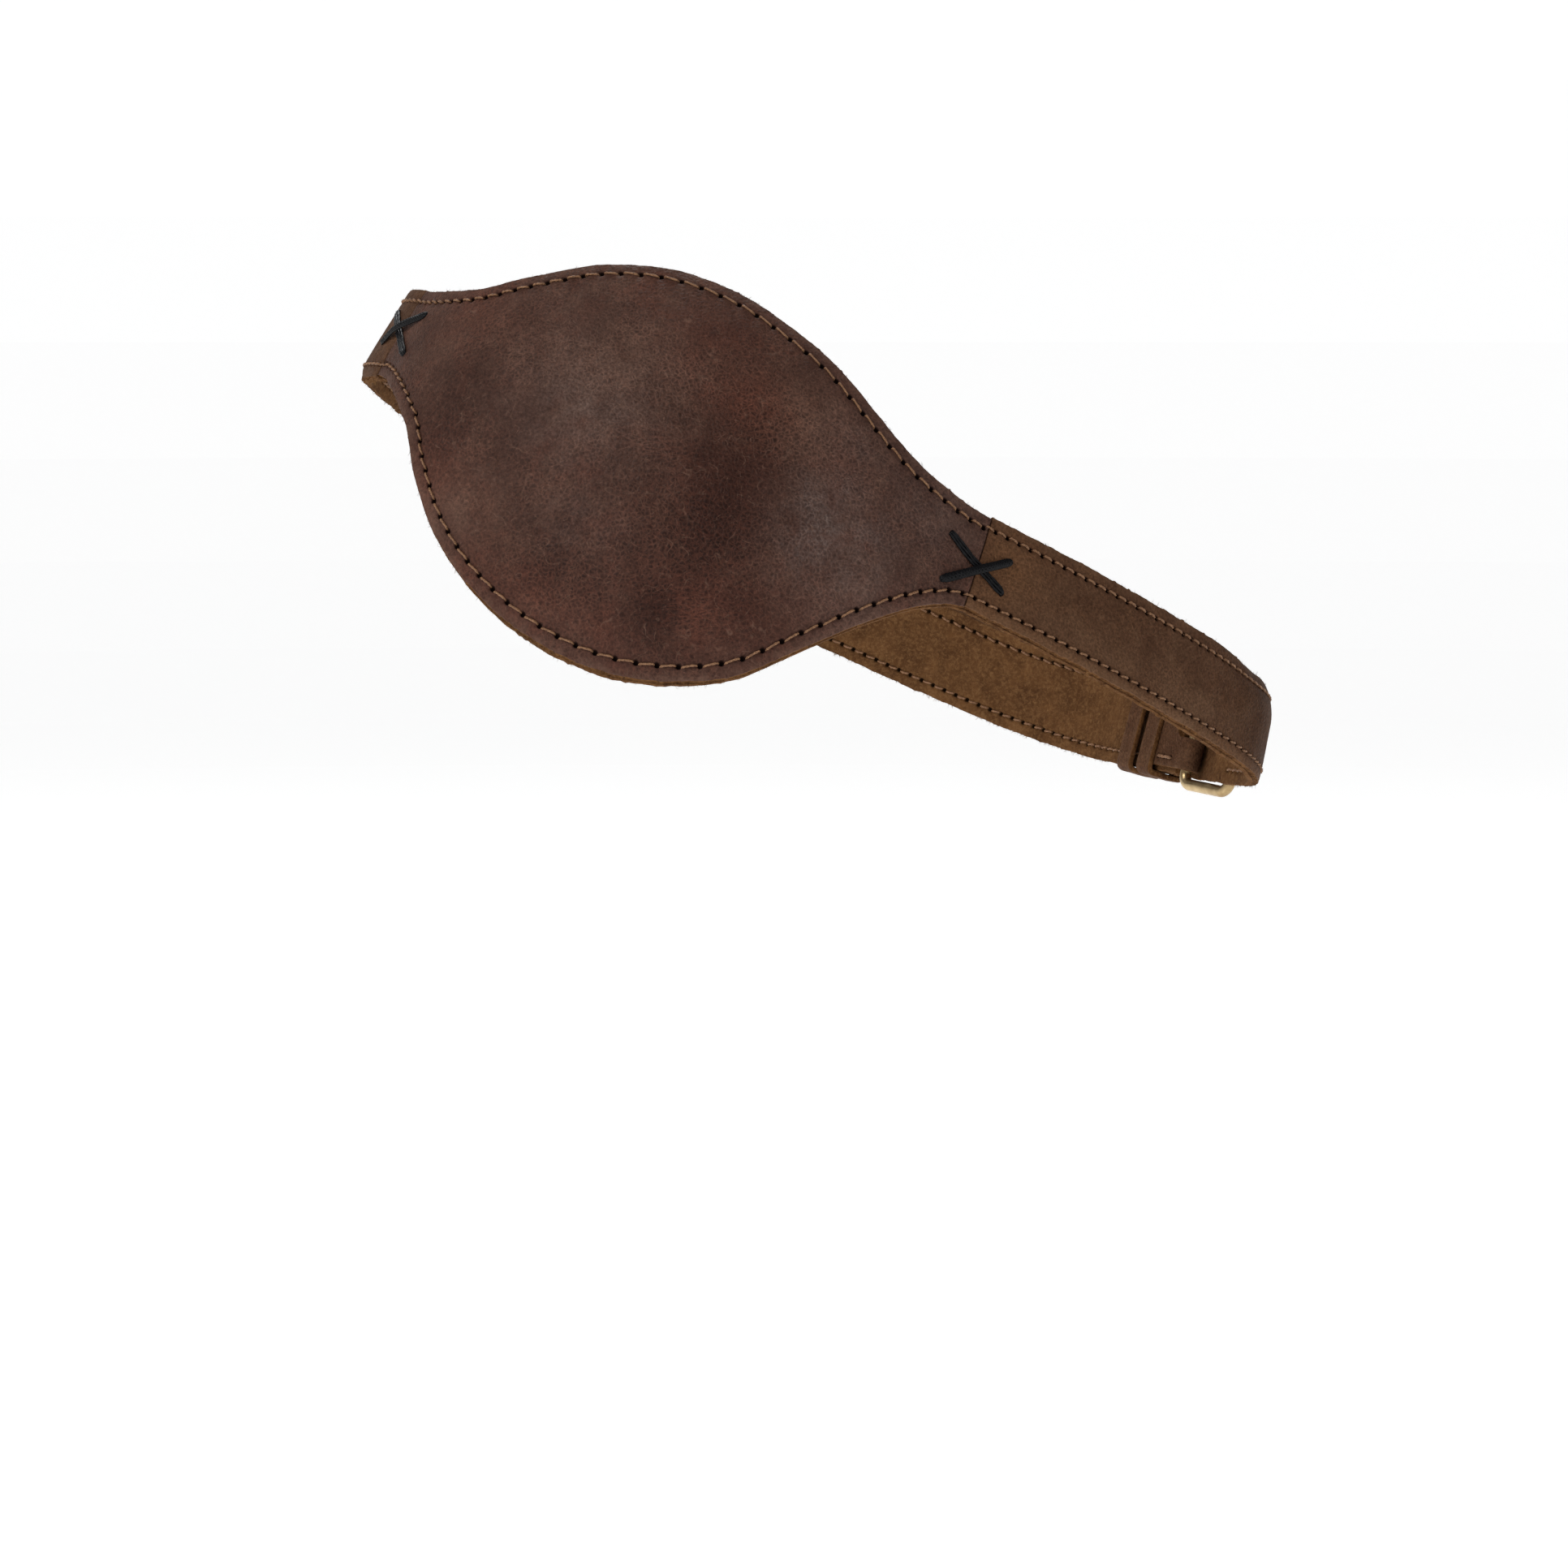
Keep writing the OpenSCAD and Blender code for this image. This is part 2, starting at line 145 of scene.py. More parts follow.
def curve(pts, x):
    """Smooth curve through points, flat at both ends, read at x."""
    px, py = np.array(pts, float).T
    slope = np.zeros_like(px)
    slope[1:-1] = (py[2:] - py[:-2]) / (px[2:] - px[:-2])
    x = np.asarray(x, float)
    i = np.clip(np.searchsorted(px, x, side="right") - 1, 0, len(px) - 2)
    w = px[i + 1] - px[i]
    t = np.clip((x - px[i]) / w, 0, 1)
    return (py[i] * (1 + 2 * t) * (1 - t) ** 2 + slope[i] * w * t * (1 - t) ** 2
            + py[i + 1] * t * t * (3 - 2 * t) - slope[i + 1] * w * t * t * (1 - t))


def drop(s):
    return BROW_DROP * smooth((s + 30) / (30 + S_BROW_JOINT))


def billet_lift(s):
    return BILLET_RISE * smooth((s - S_HALF - BILLET_FROM) / BILLET_RUN)


def billet_half(s):
    u = np.clip((s - S_HALF - BILLET_TIP + BILLET_ROUND) / BILLET_ROUND, 0, 0.995)
    return HALF_W * np.sqrt(1 - u * u)


def wander(values, scale, seed):
    """Smooth noise from -1 to 1 along a line of values, with features about scale long."""
    return np.array([noise.noise(Vector((v / scale, seed * 7.31, 0.5))) for v in values])


def ragged(values, seed):
    """How far a cut edge wanders, in millimetres: a slow wave, nicks and a few torn nubs."""
    nubs = np.maximum(wander(values, 1.1, seed + 3) - 0.45, 0)
    return 0.16 * wander(values, 3.1, seed) + 0.10 * wander(values, 0.7, seed + 1) - 0.9 * nubs


# -------------------- meshes
def place(name, data):
    """New object in the scene that shows the given data."""
    obj = bpy.data.objects.new(name, data)
    bpy.context.scene.collection.objects.link(obj)
    return obj


def fix_normals(mesh):
    bm = bmesh.new()
    bm.from_mesh(mesh)
    bmesh.ops.recalc_face_normals(bm, faces=bm.faces)
    bm.to_mesh(mesh)
    bm.free()


def new_mesh(name, verts, faces, materials):
    mesh = bpy.data.meshes.new(name)
    mesh.from_pydata(np.asarray(verts).tolist(), [], faces)
    for material in materials:
        mesh.materials.append(material)
    mesh.update()
    fix_normals(mesh)
    return mesh


def piece(name, verts, faces, materials, slot, node=None, body="root"):
    """A piece of the object, on its body, hiding the CAD node it stands for, if any; slot is not used."""
    obj = place(name, new_mesh(name, verts, faces, materials))
    for poly in obj.data.polygons:
        poly.use_smooth = True
    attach(obj, body)
    if node:
        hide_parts(node)
    return obj


def set_attribute(mesh, name, values):
    attribute = mesh.attributes.new(name, "FLOAT", "POINT")
    attribute.data.foreach_set("value", np.asarray(values, np.float32).ravel())


def dress(mesh, material_ids, **attributes):
    """Gives a leather mesh its shader attributes, a material for each face, and sharp steep edges."""
    for name, values in attributes.items():
        set_attribute(mesh, name, values)
    mesh.polygons.foreach_set("material_index", np.array(material_ids, np.int32))
    mesh.set_sharp_from_angle(angle=math.radians(60))


def bar_faces(n, sides, closed=False, base=0):
    """Faces between n rings of points, with caps at both ends unless the bar is closed."""
    index = base + np.arange(n * sides).reshape(n, sides)
    first, after = (index, np.roll(index, -1, 0)) if closed else (index[:-1], index[1:])
    quads = np.stack([first, np.roll(first, -1, 1), np.roll(after, -1, 1), after], -1)
    caps = [] if closed else [index[0, ::-1].tolist(), index[-1].tolist()]
    return quads.reshape(-1, 4).tolist() + caps


def unit(vectors):
    return vectors / np.linalg.norm(vectors, axis=-1)[..., None]


def run_along(path):
    """Length from the start of a path to each of its points."""
    return np.concatenate([[0], np.cumsum(np.linalg.norm(np.diff(path, axis=0), axis=1))])


def outward(path):
    """Outward direction of the ring near each point, good enough to set a cord's frame."""
    return unit(path * (1, 1, 0))


def rings(line, across, up, wide, high, sides):
    """Rings of points round a line; wide and high are their half sizes along across and along up."""
    angle = np.linspace(0, 2 * np.pi, sides, endpoint=False)
    sideways = (np.cos(angle) * wide)[..., None] * across[:, None]
    upwards = (np.sin(angle) * high)[..., None] * up[:, None]
    return (line[:, None] + sideways + upwards).reshape(-1, 3)


def cord_mesh(paths, radii, sides, lobes=0, twist=0.0, lobe_depth=0.0, flat=1.0):
    """Vertices and faces of cords along paths in metres; radii has an array in millimetres for each."""
    verts, faces = [], []
    angle = np.linspace(0, 2 * np.pi, sides, endpoint=False)
    for path, radius in zip(paths, radii):
        tangent = unit(np.gradient(path, axis=0))
        across = unit(np.cross(tangent, outward(path)))
        turn = twist * run_along(path)[:, None] / MM
        wide = radius[:, None] * MM * (1 + lobe_depth * np.cos(lobes * (angle - turn)))
        faces += bar_faces(len(path), sides, base=len(verts))
        verts.extend(rings(path, across, np.cross(across, tangent), wide, flat * wide, sides))
    return verts, faces


def pinched(radius, path):
    """The same radius along a path, but a quarter less at its ends."""
    radii = np.full(len(path), radius)
    radii[[0, -1]] *= 0.75
    return radii


def subdivided(points, count=19):
    """Points spread evenly by number along a polyline, as one array for each coordinate."""
    points = np.array(points)
    fine = np.linspace(0, len(points) - 1, count)
    return [np.interp(fine, range(len(points)), column) for column in points.T]


def arc(mid, radius, start, end, count):
    """Points on an arc round mid, from one angle to the other in degrees."""
    t = np.radians(np.linspace(start, end, count))
    return np.stack([mid[0] + radius * np.cos(t), mid[1] + radius * np.sin(t)], 1)


def rounded_loop(mid, half, corner, corner_points, gap):
    """Points round a rounded rectangle at steps of about gap, with their outward normals."""
    pts, normals = [], []
    for sx, sy, start in ((1, 1, 0), (-1, 1, 90), (-1, -1, 180), (1, -1, 270)):
        middle = mid[0] + sx * (half[0] - corner), mid[1] + sy * (half[1] - corner)
        pts.extend(arc(middle, corner, start, start + 90, corner_points))
        normals.extend(arc((0, 0), 1, start, start + 90, corner_points))
    dense, dense_normals = [], []
    for i in range(len(pts)):
        j = (i + 1) % len(pts)
        steps = max(int(np.linalg.norm(pts[j] - pts[i]) / gap), 1)
        for t in np.arange(steps) / steps:
            dense.append(pts[i] + (pts[j] - pts[i]) * t)
            dense_normals.append(unit(normals[i] + (normals[j] - normals[i]) * t))
    return np.array(dense), np.array(dense_normals)


def back(points):
    """Buckle coordinates to the frame: x towards the wearer's right, y up, z away from the head."""
    points = np.asarray(points, float)
    return skin(S_HALF + points[:, 0], points[:, 1], points[:, 2])


def cut_through(target, outlines, z_low, z_high):
    """Cuts holes with the given outlines, in buckle coordinates, through the target."""
    verts, faces = [], []
    for outline in outlines:
        faces += bar_faces(2, len(outline), base=len(verts))
        verts.extend(back([(x, y, z) for z in (z_low, z_high) for x, y in outline]))
    cutter = place("cutter", new_mesh("cutter", verts, faces, [CUT_EDGE]))
    cut = target.modifiers.new("cut", "BOOLEAN")
    cut.operation, cut.solver, cut.material_mode = "DIFFERENCE", "EXACT", "TRANSFER"
    cut.object = cutter
    graph = bpy.context.evaluated_depsgraph_get()
    result = target.evaluated_get(graph)
    done = bpy.data.meshes.new_from_object(result, preserve_all_data_layers=True, depsgraph=graph)
    target.modifiers.clear()
    target.data = done
    bpy.data.objects.remove(cutter)


# -------------------- layers of leather
SEAM_STEPS = [k / 5 for k in range(-4, 5)]
EDGE_DISTS = [0.0, 0.07, 0.22, 0.5, 1.0, 1.5] + [SEAM_INSET + step for step in SEAM_STEPS] + [3.9, 4.6]
EDGE_DEPTHS = [0.32, 0.14, 0.04] + [0.0] * (len(EDGE_DISTS) - 3)
EDGE_STEPS = list(zip(EDGE_DISTS, EDGE_DEPTHS))
LAST_DIST = 5.6
BACK_RIM, CUT_MIDDLE = 0.4, 0.6
RAG_REACH, STEEPEST = 1.2, 2.5  # how far in an edge is ragged, and the most that a slope widens a distance
ON_FACE, ON_CUT, ON_BACK = 0, 1, 2


class Row:
    """One row of stitches: its line over the leather and the places of its needle holes."""

    def __init__(self, s_from, s_to, height, pitch, d_face, hole_r):
        fine = np.linspace(s_from, s_to, int(abs(s_to - s_from) / 0.1) + 2)
        run = np.diff(run_along(skin(fine, height(fine), d_face) / MM))
        count = np.concatenate([[0], np.cumsum(run / pitch((fine[1:] + fine[:-1]) / 2))])
        marks = np.linspace(0, count[-1], max(int(round(count[-1])), 1) + 1)
        self.s = np.interp(marks, count, fine)
        self.h = height(self.s)
        self.holes = skin(self.s, self.h, d_face)
        self.d_face = d_face
        self.hole_r = hole_r


def layer_section(cols, low, high, seed, mid_rows):
    """Lines along a layer, once round its section: heights, distance from the edge, depth and kind."""
    lo, hi = low(cols), high(cols)
    squeeze = np.minimum(1, (hi - lo) / 2 / (LAST_DIST + 0.5))

    def inside(edge, up, number):
        """Gives the heights of a line at a distance inside a ragged edge."""
        stretch = np.minimum(np.sqrt(1 + np.gradient(edge, cols) ** 2), STEEPEST)
        wave = ragged(cols, number)
        return lambda dist: edge + up * (dist * stretch + wave * max(0, 1 - dist / RAG_REACH)) * squeeze

    def between(a, b, parts):
        return [a + (b - a) * part for part in parts]

    from_low, from_high = inside(lo, 1, seed), inside(hi, -1, seed + 4)
    inner = between(from_low(BACK_RIM), from_high(BACK_RIM), (0, 0.25, 0.5, 0.75, 1))
    middle = between(from_high(LAST_DIST), from_low(LAST_DIST), np.linspace(0, 1, mid_rows + 2))
    lines = [(h, 0.0, 0.0, ON_BACK) for h in (from_low(0.0), *inner, from_high(0.0))]
    lines += [(from_high(0.0), 0.0, 0.0, ON_CUT)]
    lines += [(from_high(dist), dist, depth, ON_FACE) for dist, depth in EDGE_STEPS]
    lines += [(h, LAST_DIST, 0.0, ON_FACE) for h in middle]
    lines += [(from_low(dist), dist, depth, ON_FACE) for dist, depth in reversed(EDGE_STEPS)]
    return lines + [(from_low(0.0), 0.0, 0.0, ON_CUT)]


def needle_pits(at, rows):
    """How far each point lies in a needle hole, from 0 outside to 1 at its middle."""
    pits = np.zeros(len(at))
    for row in rows:
        gap = np.sqrt(((at[:, None] - row.holes[None]) ** 2).sum(-1)).min(1) / MM
        pits = np.maximum(pits, np.exp(-((gap / row.hole_r) ** 4)))
    return pits


def leather_layer(name, node, cols, low, high, d_face, d_back, rows, seed, mid_rows, slot, look, cushion=0.0):
    """One layer of leather as a closed mesh with a detailed face, cut edges and a plain back."""
    side = 1 if d_face(cols[:1])[0] > d_back(cols[:1])[0] else -1
    lines = layer_section(cols, low, high, seed, mid_rows)[::side]
    h = np.array([line[0] for line in lines]).T
    dist, depth, kind = (np.tile([line[k] for line in lines], (len(cols), 1)) for k in (1, 2, 3))
    s = np.repeat(cols[:, None], len(lines), 1)
    face, behind = d_face(cols)[:, None], d_back(cols)[:, None]
    middle = face - side * np.abs(face - behind) * CUT_MIDDLE
    d = np.where(kind == ON_BACK, behind, np.where(kind == ON_CUT, middle, face - side * depth))
    flat = (kind == ON_FACE) & (dist >= 0.2)

    at = skin(s, h, d)
    pits, grain = np.zeros_like(h), np.zeros_like(h)
    near = flat & (dist < 4.0)
    pits[near] = needle_pits(at[near], rows)
    for reach, offset, height in ((0.22, Vector((seed, 0, 0)), 0.10), (0.9, Vector(), 0.03)):
        grain[flat] += [noise.noise(Vector(v) * reach + offset) * height for v in at[flat] / MM]
    sewn = flat * (1.0 if rows else 0.0)
    sunk = (0.14 * np.exp(-(((dist - SEAM_INSET) / 0.55) ** 2)) + 0.10 * np.exp(-((dist / 1.4) ** 2))) * sewn
    puff = cushion * np.clip((dist - 3.2) / 2.4, 0, 1) * flat
    joint = sum(np.exp(-(((s - at_s) / 0.2) ** 2)) for at_s in (S_BROW_JOINT, S_TEMPLE_JOINT)) * flat
    d = d + side * (grain + puff - 0.95 * pits - sunk - JOINT_GROOVE * joint)

    around = [[f[0], *f[:0:-1]] if len(f) == 4 else f[::-1] for f in bar_faces(*h.shape)]
    obj = piece(name, skin(s, h, d).reshape(-1, 3), around, look, slot, node)
    kinds = kind[0]
    strips = np.where(kinds == np.roll(kinds, -1), kinds, ON_CUT)
    ids = np.concatenate([np.tile(strips, len(cols) - 1), [ON_CUT, ON_CUT]])
    rim = np.exp(-((dist / 1.1) ** 2)) * (kind == ON_FACE)
    seam = np.exp(-(((dist - SEAM_INSET) / 0.9) ** 2)) * sewn
    # pit marks the needle holes and the joint grooves, which the materials darken as painted shade
    dress(obj.data, ids, pit=np.maximum(pits, 0.42 * joint), edge=rim, seam=seam, station=s, height=h)
    return obj


# -------------------- materials
def feed(tree, socket, value):
    """Links a socket to another socket, or sets it to a number, a vector or a colour without alpha."""
    if isinstance(value, bpy.types.NodeSocket):
        tree.links.new(value, socket)
    elif socket.type == "RGBA":
        socket.default_value = (*value, 1.0)
    else:
        socket.default_value = value


def add_node(tree, kind, sockets=None, **settings):
    """New shader node with its settings; sockets maps names or numbers of its inputs to what feeds them."""
    node = tree.nodes.new("ShaderNode" + kind)
    for key, value in settings.items():
        setattr(node, key, value)
    for key, value in (sockets or {}).items():
        feed(tree, node.inputs[key], value)
    return node


class Graph:
    """A material's node tree, with short names for the nodes that the materials use."""

    def __init__(self, name):
        self.material = bpy.data.materials.new(name)
        self.material.use_nodes = True
        self.tree = self.material.node_tree
        self.tree.nodes.clear()
        self.shader = self.add("BsdfPrincipled")
        self.add("OutputMaterial", {0: self.shader.outputs[0]})

    def add(self, kind, sockets=None, **settings):
        return add_node(self.tree, kind, sockets, **settings)

    def surface(self, sockets):
        """Feeds the shader's sockets and gives back the material."""
        for key, value in sockets.items():
            feed(self.tree, self.shader.inputs[key], value)
        return self.material

    def attribute(self, name):
        return self.add("Attribute", attribute_name=name).outputs["Fac"]

    def coords(self, scale=(1, 1, 1)):
        at = self.add("TexCoord").outputs["Object"]
        return self.add("Mapping", {"Vector": at, "Scale": scale}).outputs[0]

    def noise(self, at, scale, detail=4.0, rough=0.55, warp=0.0):
        sockets = {"Vector": at, "Scale": scale, "Detail": detail, "Roughness": rough, "Distortion": warp}
        return self.add("TexNoise", sockets).outputs["Fac"]

    def cells(self, at, scale):
        """Distance to the edge of the nearest of many irregular cells."""
        sockets = {"Vector": at, "Scale": scale}
        return self.add("TexVoronoi", sockets, feature="DISTANCE_TO_EDGE").outputs["Distance"]

    def warp(self, at, scale, amount):
        """Coordinates pushed about by noise, by up to half of amount in metres."""
        push = self.add("TexNoise", {"Vector": at, "Scale": scale, "Detail": 2}).outputs["Color"]
        sockets = {0: push, 1: (amount, amount, amount), 2: at}
        return self.add("VectorMath", sockets, operation="MULTIPLY_ADD").outputs[0]

    def off_middle(self, value):
        """How far a noise is from its middle value: small along its level lines."""
        return self.math("ABSOLUTE", self.math("SUBTRACT", value, 0.5), 0)

    def scratches(self, at, scale, warp):
        """Short fine hair-like lines: level lines of a warped noise, broken up by another."""
        line = self.off_middle(self.noise(self.warp(at, scale * 0.8, warp), scale, 1, 0.4))
        gaps = self.remap(self.noise(at, scale * 1.7, 2), 0.50, 0.62)
        return self.times(self.remap(line, 0.0, 0.010, 1.0, 0.0), gaps)

    def remap(self, value, a, b, c=0.0, d=1.0):
        sockets = {"Value": value, "From Min": a, "From Max": b, "To Min": c, "To Max": d}
        return self.add("MapRange", sockets).outputs[0]

    def math(self, kind, a, b):
        return self.add("Math", {0: a, 1: b}, operation=kind).outputs[0]

    def times(self, a, b):
        return self.math("MULTIPLY", a, b)

    def larger(self, a, b):
        return self.math("MAXIMUM", a, b)

    def mix(self, fac, a, b, kind="MIX"):
        return self.add("Mix", {0: fac, 6: a, 7: b}, data_type="RGBA", blend_type=kind).outputs[2]

    def bump(self, height, strength, distance, below=None):
        sockets = {"Strength": strength, "Distance": distance, "Height": height}
        if below is not None:
            sockets["Normal"] = below
        return self.add("Bump", sockets).outputs[0]


# Painted shade for holes and joint grooves on the face, the brown of scars, and painted shade for holes in the
# suede
PIT_SHADE, SCAR_BROWN, SUEDE_PIT_SHADE = (0.0070, 0.0026, 0.0020), (0.012, 0.006, 0.006), (0.02, 0.010, 0.004)
SCRATCHES = [(170, 0.006, 0.5), (260, 0.004, 0.45), (120, 0.008, 0.4)]  # scale, warp, strength


def leather_material(name, dark, mid, light, red, painted_sheen, painted_shade_colour, net, specular):
    """Waxed leather: clouds of tone, painted blotches with painted sheen, painted highlight and painted shade
    among them, a net of fine creases, scratches, rubbed edges and painted shade in the needle holes.
    """
    g = Graph(name)
    at = g.coords()

    # clouds of tone, then the painted blotches: red tone, painted sheen, pale tone that is partly painted
    # highlight, and painted shade
    colour = g.mix(g.remap(g.noise(at, 55, 5, 0.6, 0.4), 0.36, 0.66, 0.24, 0.82), dark, mid)
    blotch = g.remap(g.noise(at, 150, 6, 0.65, 0.6), 0.46, 0.72)
    colour = g.mix(g.times(blotch, 0.34), colour, light)
    flush = g.remap(g.noise(at, 95, 5, 0.62, 0.5), 0.52, 0.74)
    colour = g.mix(g.times(flush, 0.5), colour, red)
    fine = g.noise(at, 1700, 3, 0.6)
    cloud = g.remap(g.noise(at, 210, 6, 0.6, 0.3), 0.2, 0.75)
    # noise that breaks up the painted sheen
    sheen_breakup = g.times(cloud, g.remap(fine, 0.36, 0.64, 0.6, 1.2))
    colour = g.mix(g.attribute("red"), colour, red)
    # painted sheen: a cool reflection painted into the colour where the sheen zones lie
    colour = g.mix(g.times(g.attribute("painted_sheen"), sheen_breakup), colour, painted_sheen)
    # pale zones: lighter leather in part and painted highlight in part
    colour = g.mix(g.times(g.attribute("pale"), cloud), colour, light)
    # painted shade: darkens the colour where the dome, the wrinkles and the bend of the strap fall into shade
    colour = g.mix(g.attribute("shade"), colour, painted_shade_colour)

    # net of creases round fine pebbles, and the long folds
    bent = g.warp(g.warp(at, 420, 0.0012), 1500, 0.0004)
    pebble = g.cells(bent, 1120)
    ridge = g.off_middle(g.noise(bent, 500, 3, 0.6, 0.5))
    valley = g.times(g.remap(pebble, 0.0, 0.15, 1.0, 0.0), 0.85)
    crease = g.larger(valley, g.remap(ridge, 0.0, 0.022, 1.0, 0.0))
    crease = g.times(crease, g.remap(g.noise(at, 950, 3), 0.36, 0.60, 0.35, 1.0))
    patchy = g.larger(g.remap(g.noise(at, 85, 3, 0.5), 0.40, 0.62, net * 0.35, net), g.attribute("wrinkle"))
    long_cells = g.cells(g.warp(g.coords((0.30, 0.30, 1.25)), 300, 0.0016), 980)
    fold = g.times(g.remap(long_cells, 0.0, 0.14, 1.0, 0.0), g.attribute("fold"))
    crease = g.larger(g.times(crease, patchy), fold)
    lighter = g.mix(1.0, colour, (2.5, 2.25, 2.1), "MULTIPLY")
    colour = g.mix(g.times(crease, 0.85), colour, lighter)
    darker = g.mix(1.0, colour, (0.40, 0.34, 0.34), "MULTIPLY")
    colour = g.mix(g.times(g.remap(pebble, 0.17, 0.42), g.times(patchy, 0.80)), colour, darker)

    # hair scratches and specks
    hair = g.noise(g.coords((0.35, 1.6, 1.0)), 900, 4, 0.7, 0.8)
    colour = g.mix(g.remap(hair, 0.58, 0.74, 0, 0.45), colour, light)
    for scale, warp, amount in SCRATCHES:
        colour = g.mix(g.times(g.scratches(at, scale, warp), amount), colour, light)
    speck = g.remap(fine, 0.32, 0.68, 0.74, 1.26)
    tint = g.add("CombineColor", {0: speck, 1: speck, 2: speck}).outputs[0]
    colour = g.mix(1.0, colour, tint, "MULTIPLY")

    # rubbed edges, seam lines, scars, and painted shade in the needle holes and joint grooves
    pit = g.attribute("pit")
    rubbed = g.times(g.attribute("edge"), g.remap(g.noise(at, 420, 5, 0.7), 0.4, 0.65))
    colour = g.mix(g.times(rubbed, 0.6), colour, light)
    colour = g.mix(g.times(g.attribute("seam"), 0.25), colour, dark)
    colour = g.mix(g.attribute("scar"), colour, SCAR_BROWN)
    # painted shade in the needle holes and joint grooves
    colour = g.mix(g.remap(pit, 0.10, 0.55), colour, PIT_SHADE)
    gloss = g.remap(g.noise(at, 120, 5, 0.6), 0.3, 0.7, 0.46, 0.64)

    pores = g.bump(g.noise(at, 2600, 3, 0.6), 0.35, 0.00010)
    pebbles = g.bump(g.remap(pebble, 0.0, 0.35), 0.45, 0.00022, pores)
    folds = g.bump(crease, -0.45, 0.00022, pebbles)
    swirl = g.bump(g.noise(at, 320, 6, 0.6, 0.7), 0.35, 0.00045, folds)
    return g.surface({
        "Base Color": colour, "Roughness": g.larger(gloss, g.remap(pit, 0.1, 0.4, 0.0, 0.95)),
        "Specular IOR Level": specular, "Normal": swirl,
    })


def suede_material(name, dark, mid, light):
    g = Graph(name)
    at = g.coords()
    colour = g.mix(g.remap(g.noise(at, 120, 5, 0.65, 0.5), 0.35, 0.68), dark, mid)
    nap = g.noise(at, 1300, 5, 0.75, 0.6)
    colour = g.mix(g.remap(nap, 0.45, 0.72, 0, 0.75), colour, light)
    colour = g.mix(g.remap(g.noise(at, 620, 4, 0.7, 1.0), 0.55, 0.75, 0, 0.8), colour, dark)
    # painted shade in the needle holes
    colour = g.mix(g.remap(g.attribute("pit"), 0.12, 0.62), colour, SUEDE_PIT_SHADE)
    tufts = g.bump(g.noise(at, 480, 5, 0.7, 0.8), 0.6, 0.0006, g.bump(nap, 0.8, 0.00030))
    return g.surface({"Base Color": colour, "Roughness": 0.95, "Specular IOR Level": 0.05, "Normal": tufts})


def thread_material(name, dark, light, rough, specular, scale):
    g = Graph(name)
    at = g.coords()
    strands = g.noise(at, scale, 4, 0.6, 0.5)
    return g.surface({
        "Base Color": g.mix(g.remap(strands, 0.35, 0.68), dark, light),
        "Roughness": g.remap(g.noise(at, scale / 3, 2), 0.3, 0.7, rough - 0.08, rough + 0.1),
        "Specular IOR Level": specular, "Normal": g.bump(strands, 0.5, 0.00008),
    })


def metal_material(name, dark, light):
    g = Graph(name)
    at = g.coords()
    tarnish = g.remap(g.noise(at, 260, 6, 0.65, 0.4), 0.38, 0.66)
    return g.surface({
        "Base Color": g.mix(tarnish, dark, light), "Metallic": 1.0,
        "Roughness": g.remap(g.noise(at, 700, 5, 0.7), 0.3, 0.7, 0.26, 0.46),
        "Normal": g.bump(g.noise(at, 1800, 4, 0.6), 0.15, 0.00006),
    })


# Each leather has a colour for its painted sheen and a darkest colour for its painted shade.
PATCH_LEATHER = leather_material(
    "patch_leather", dark=(0.036, 0.0160, 0.0110), mid=(0.064, 0.031, 0.0225), light=(0.125, 0.069, 0.049),
    red=(0.082, 0.0290, 0.0190), painted_sheen=(0.084, 0.062, 0.055), painted_shade_colour=(0.017, 0.0062, 0.0042),
    net=0.65, specular=0.08)
STRAP_LEATHER = leather_material(
    "strap_leather", dark=(0.050, 0.0232, 0.0130), mid=(0.080, 0.0400, 0.0222), light=(0.132, 0.072, 0.041),
    red=(0.100, 0.0480, 0.0235), painted_sheen=(0.07, 0.05, 0.04), painted_shade_colour=(0.020, 0.0085, 0.0045),
    net=0.35, specular=0.012)
CUT_EDGE = suede_material("cut_edge", (0.055, 0.022, 0.008), (0.135, 0.060, 0.021), (0.215, 0.110, 0.045))
SUEDE = suede_material("suede", (0.055, 0.023, 0.009), (0.120, 0.055, 0.021), (0.200, 0.105, 0.045))
FIBRE_DARK = suede_material("dark_fibre", (0.030, 0.014, 0.009), (0.060, 0.030, 0.018), (0.11, 0.06, 0.032))
FIBRE_TAN = suede_material("tan_fibre", (0.120, 0.058, 0.020), (0.200, 0.105, 0.038), (0.320, 0.185, 0.080))
TAN_THREAD = thread_material("tan_thread", (0.10, 0.045, 0.020), (0.28, 0.145, 0.072), 0.55, 0.3, 3200)
BLACK_LACE = thread_material("black_lace", (0.0007, 0.0007, 0.0009), (0.005, 0.005, 0.0064), 0.38, 0.13, 2600)
BRASS = metal_material("antique_brass", (0.30, 0.205, 0.10), (0.50, 0.38, 0.21))


# -------------------- patch and straps
PATCH_PITCH = [(4, 2.6), (18, 3.0), (32, 3.3), (46, 3.7), (60, 4.1), (112, 4.1), (128, 3.6), (139.5, 3.1)]
STRAP_PITCH = 2.75
PATCH_HOLE_R, STRAP_HOLE_R = 0.55, 0.47
PATCH_SEAM_END, STRAP_SEAM_END = 1.2, 1.5
LINING_PROUD = 0.25  # how far the lining stands out past the face at a lower edge
COL_GAP = 0.25
LINING_COL_GAP = COL_GAP * 1.6


def low_patch(s):
    return curve(LOWER_EDGE, s)


def high_patch(s):
    return curve(UPPER_EDGE, s)


def strap_low(s):
    return drop(s) - HALF_W


def strap_high(s):
    return drop(s) + HALF_W


def constant(value):
    return lambda s: np.full(np.shape(s), float(value))


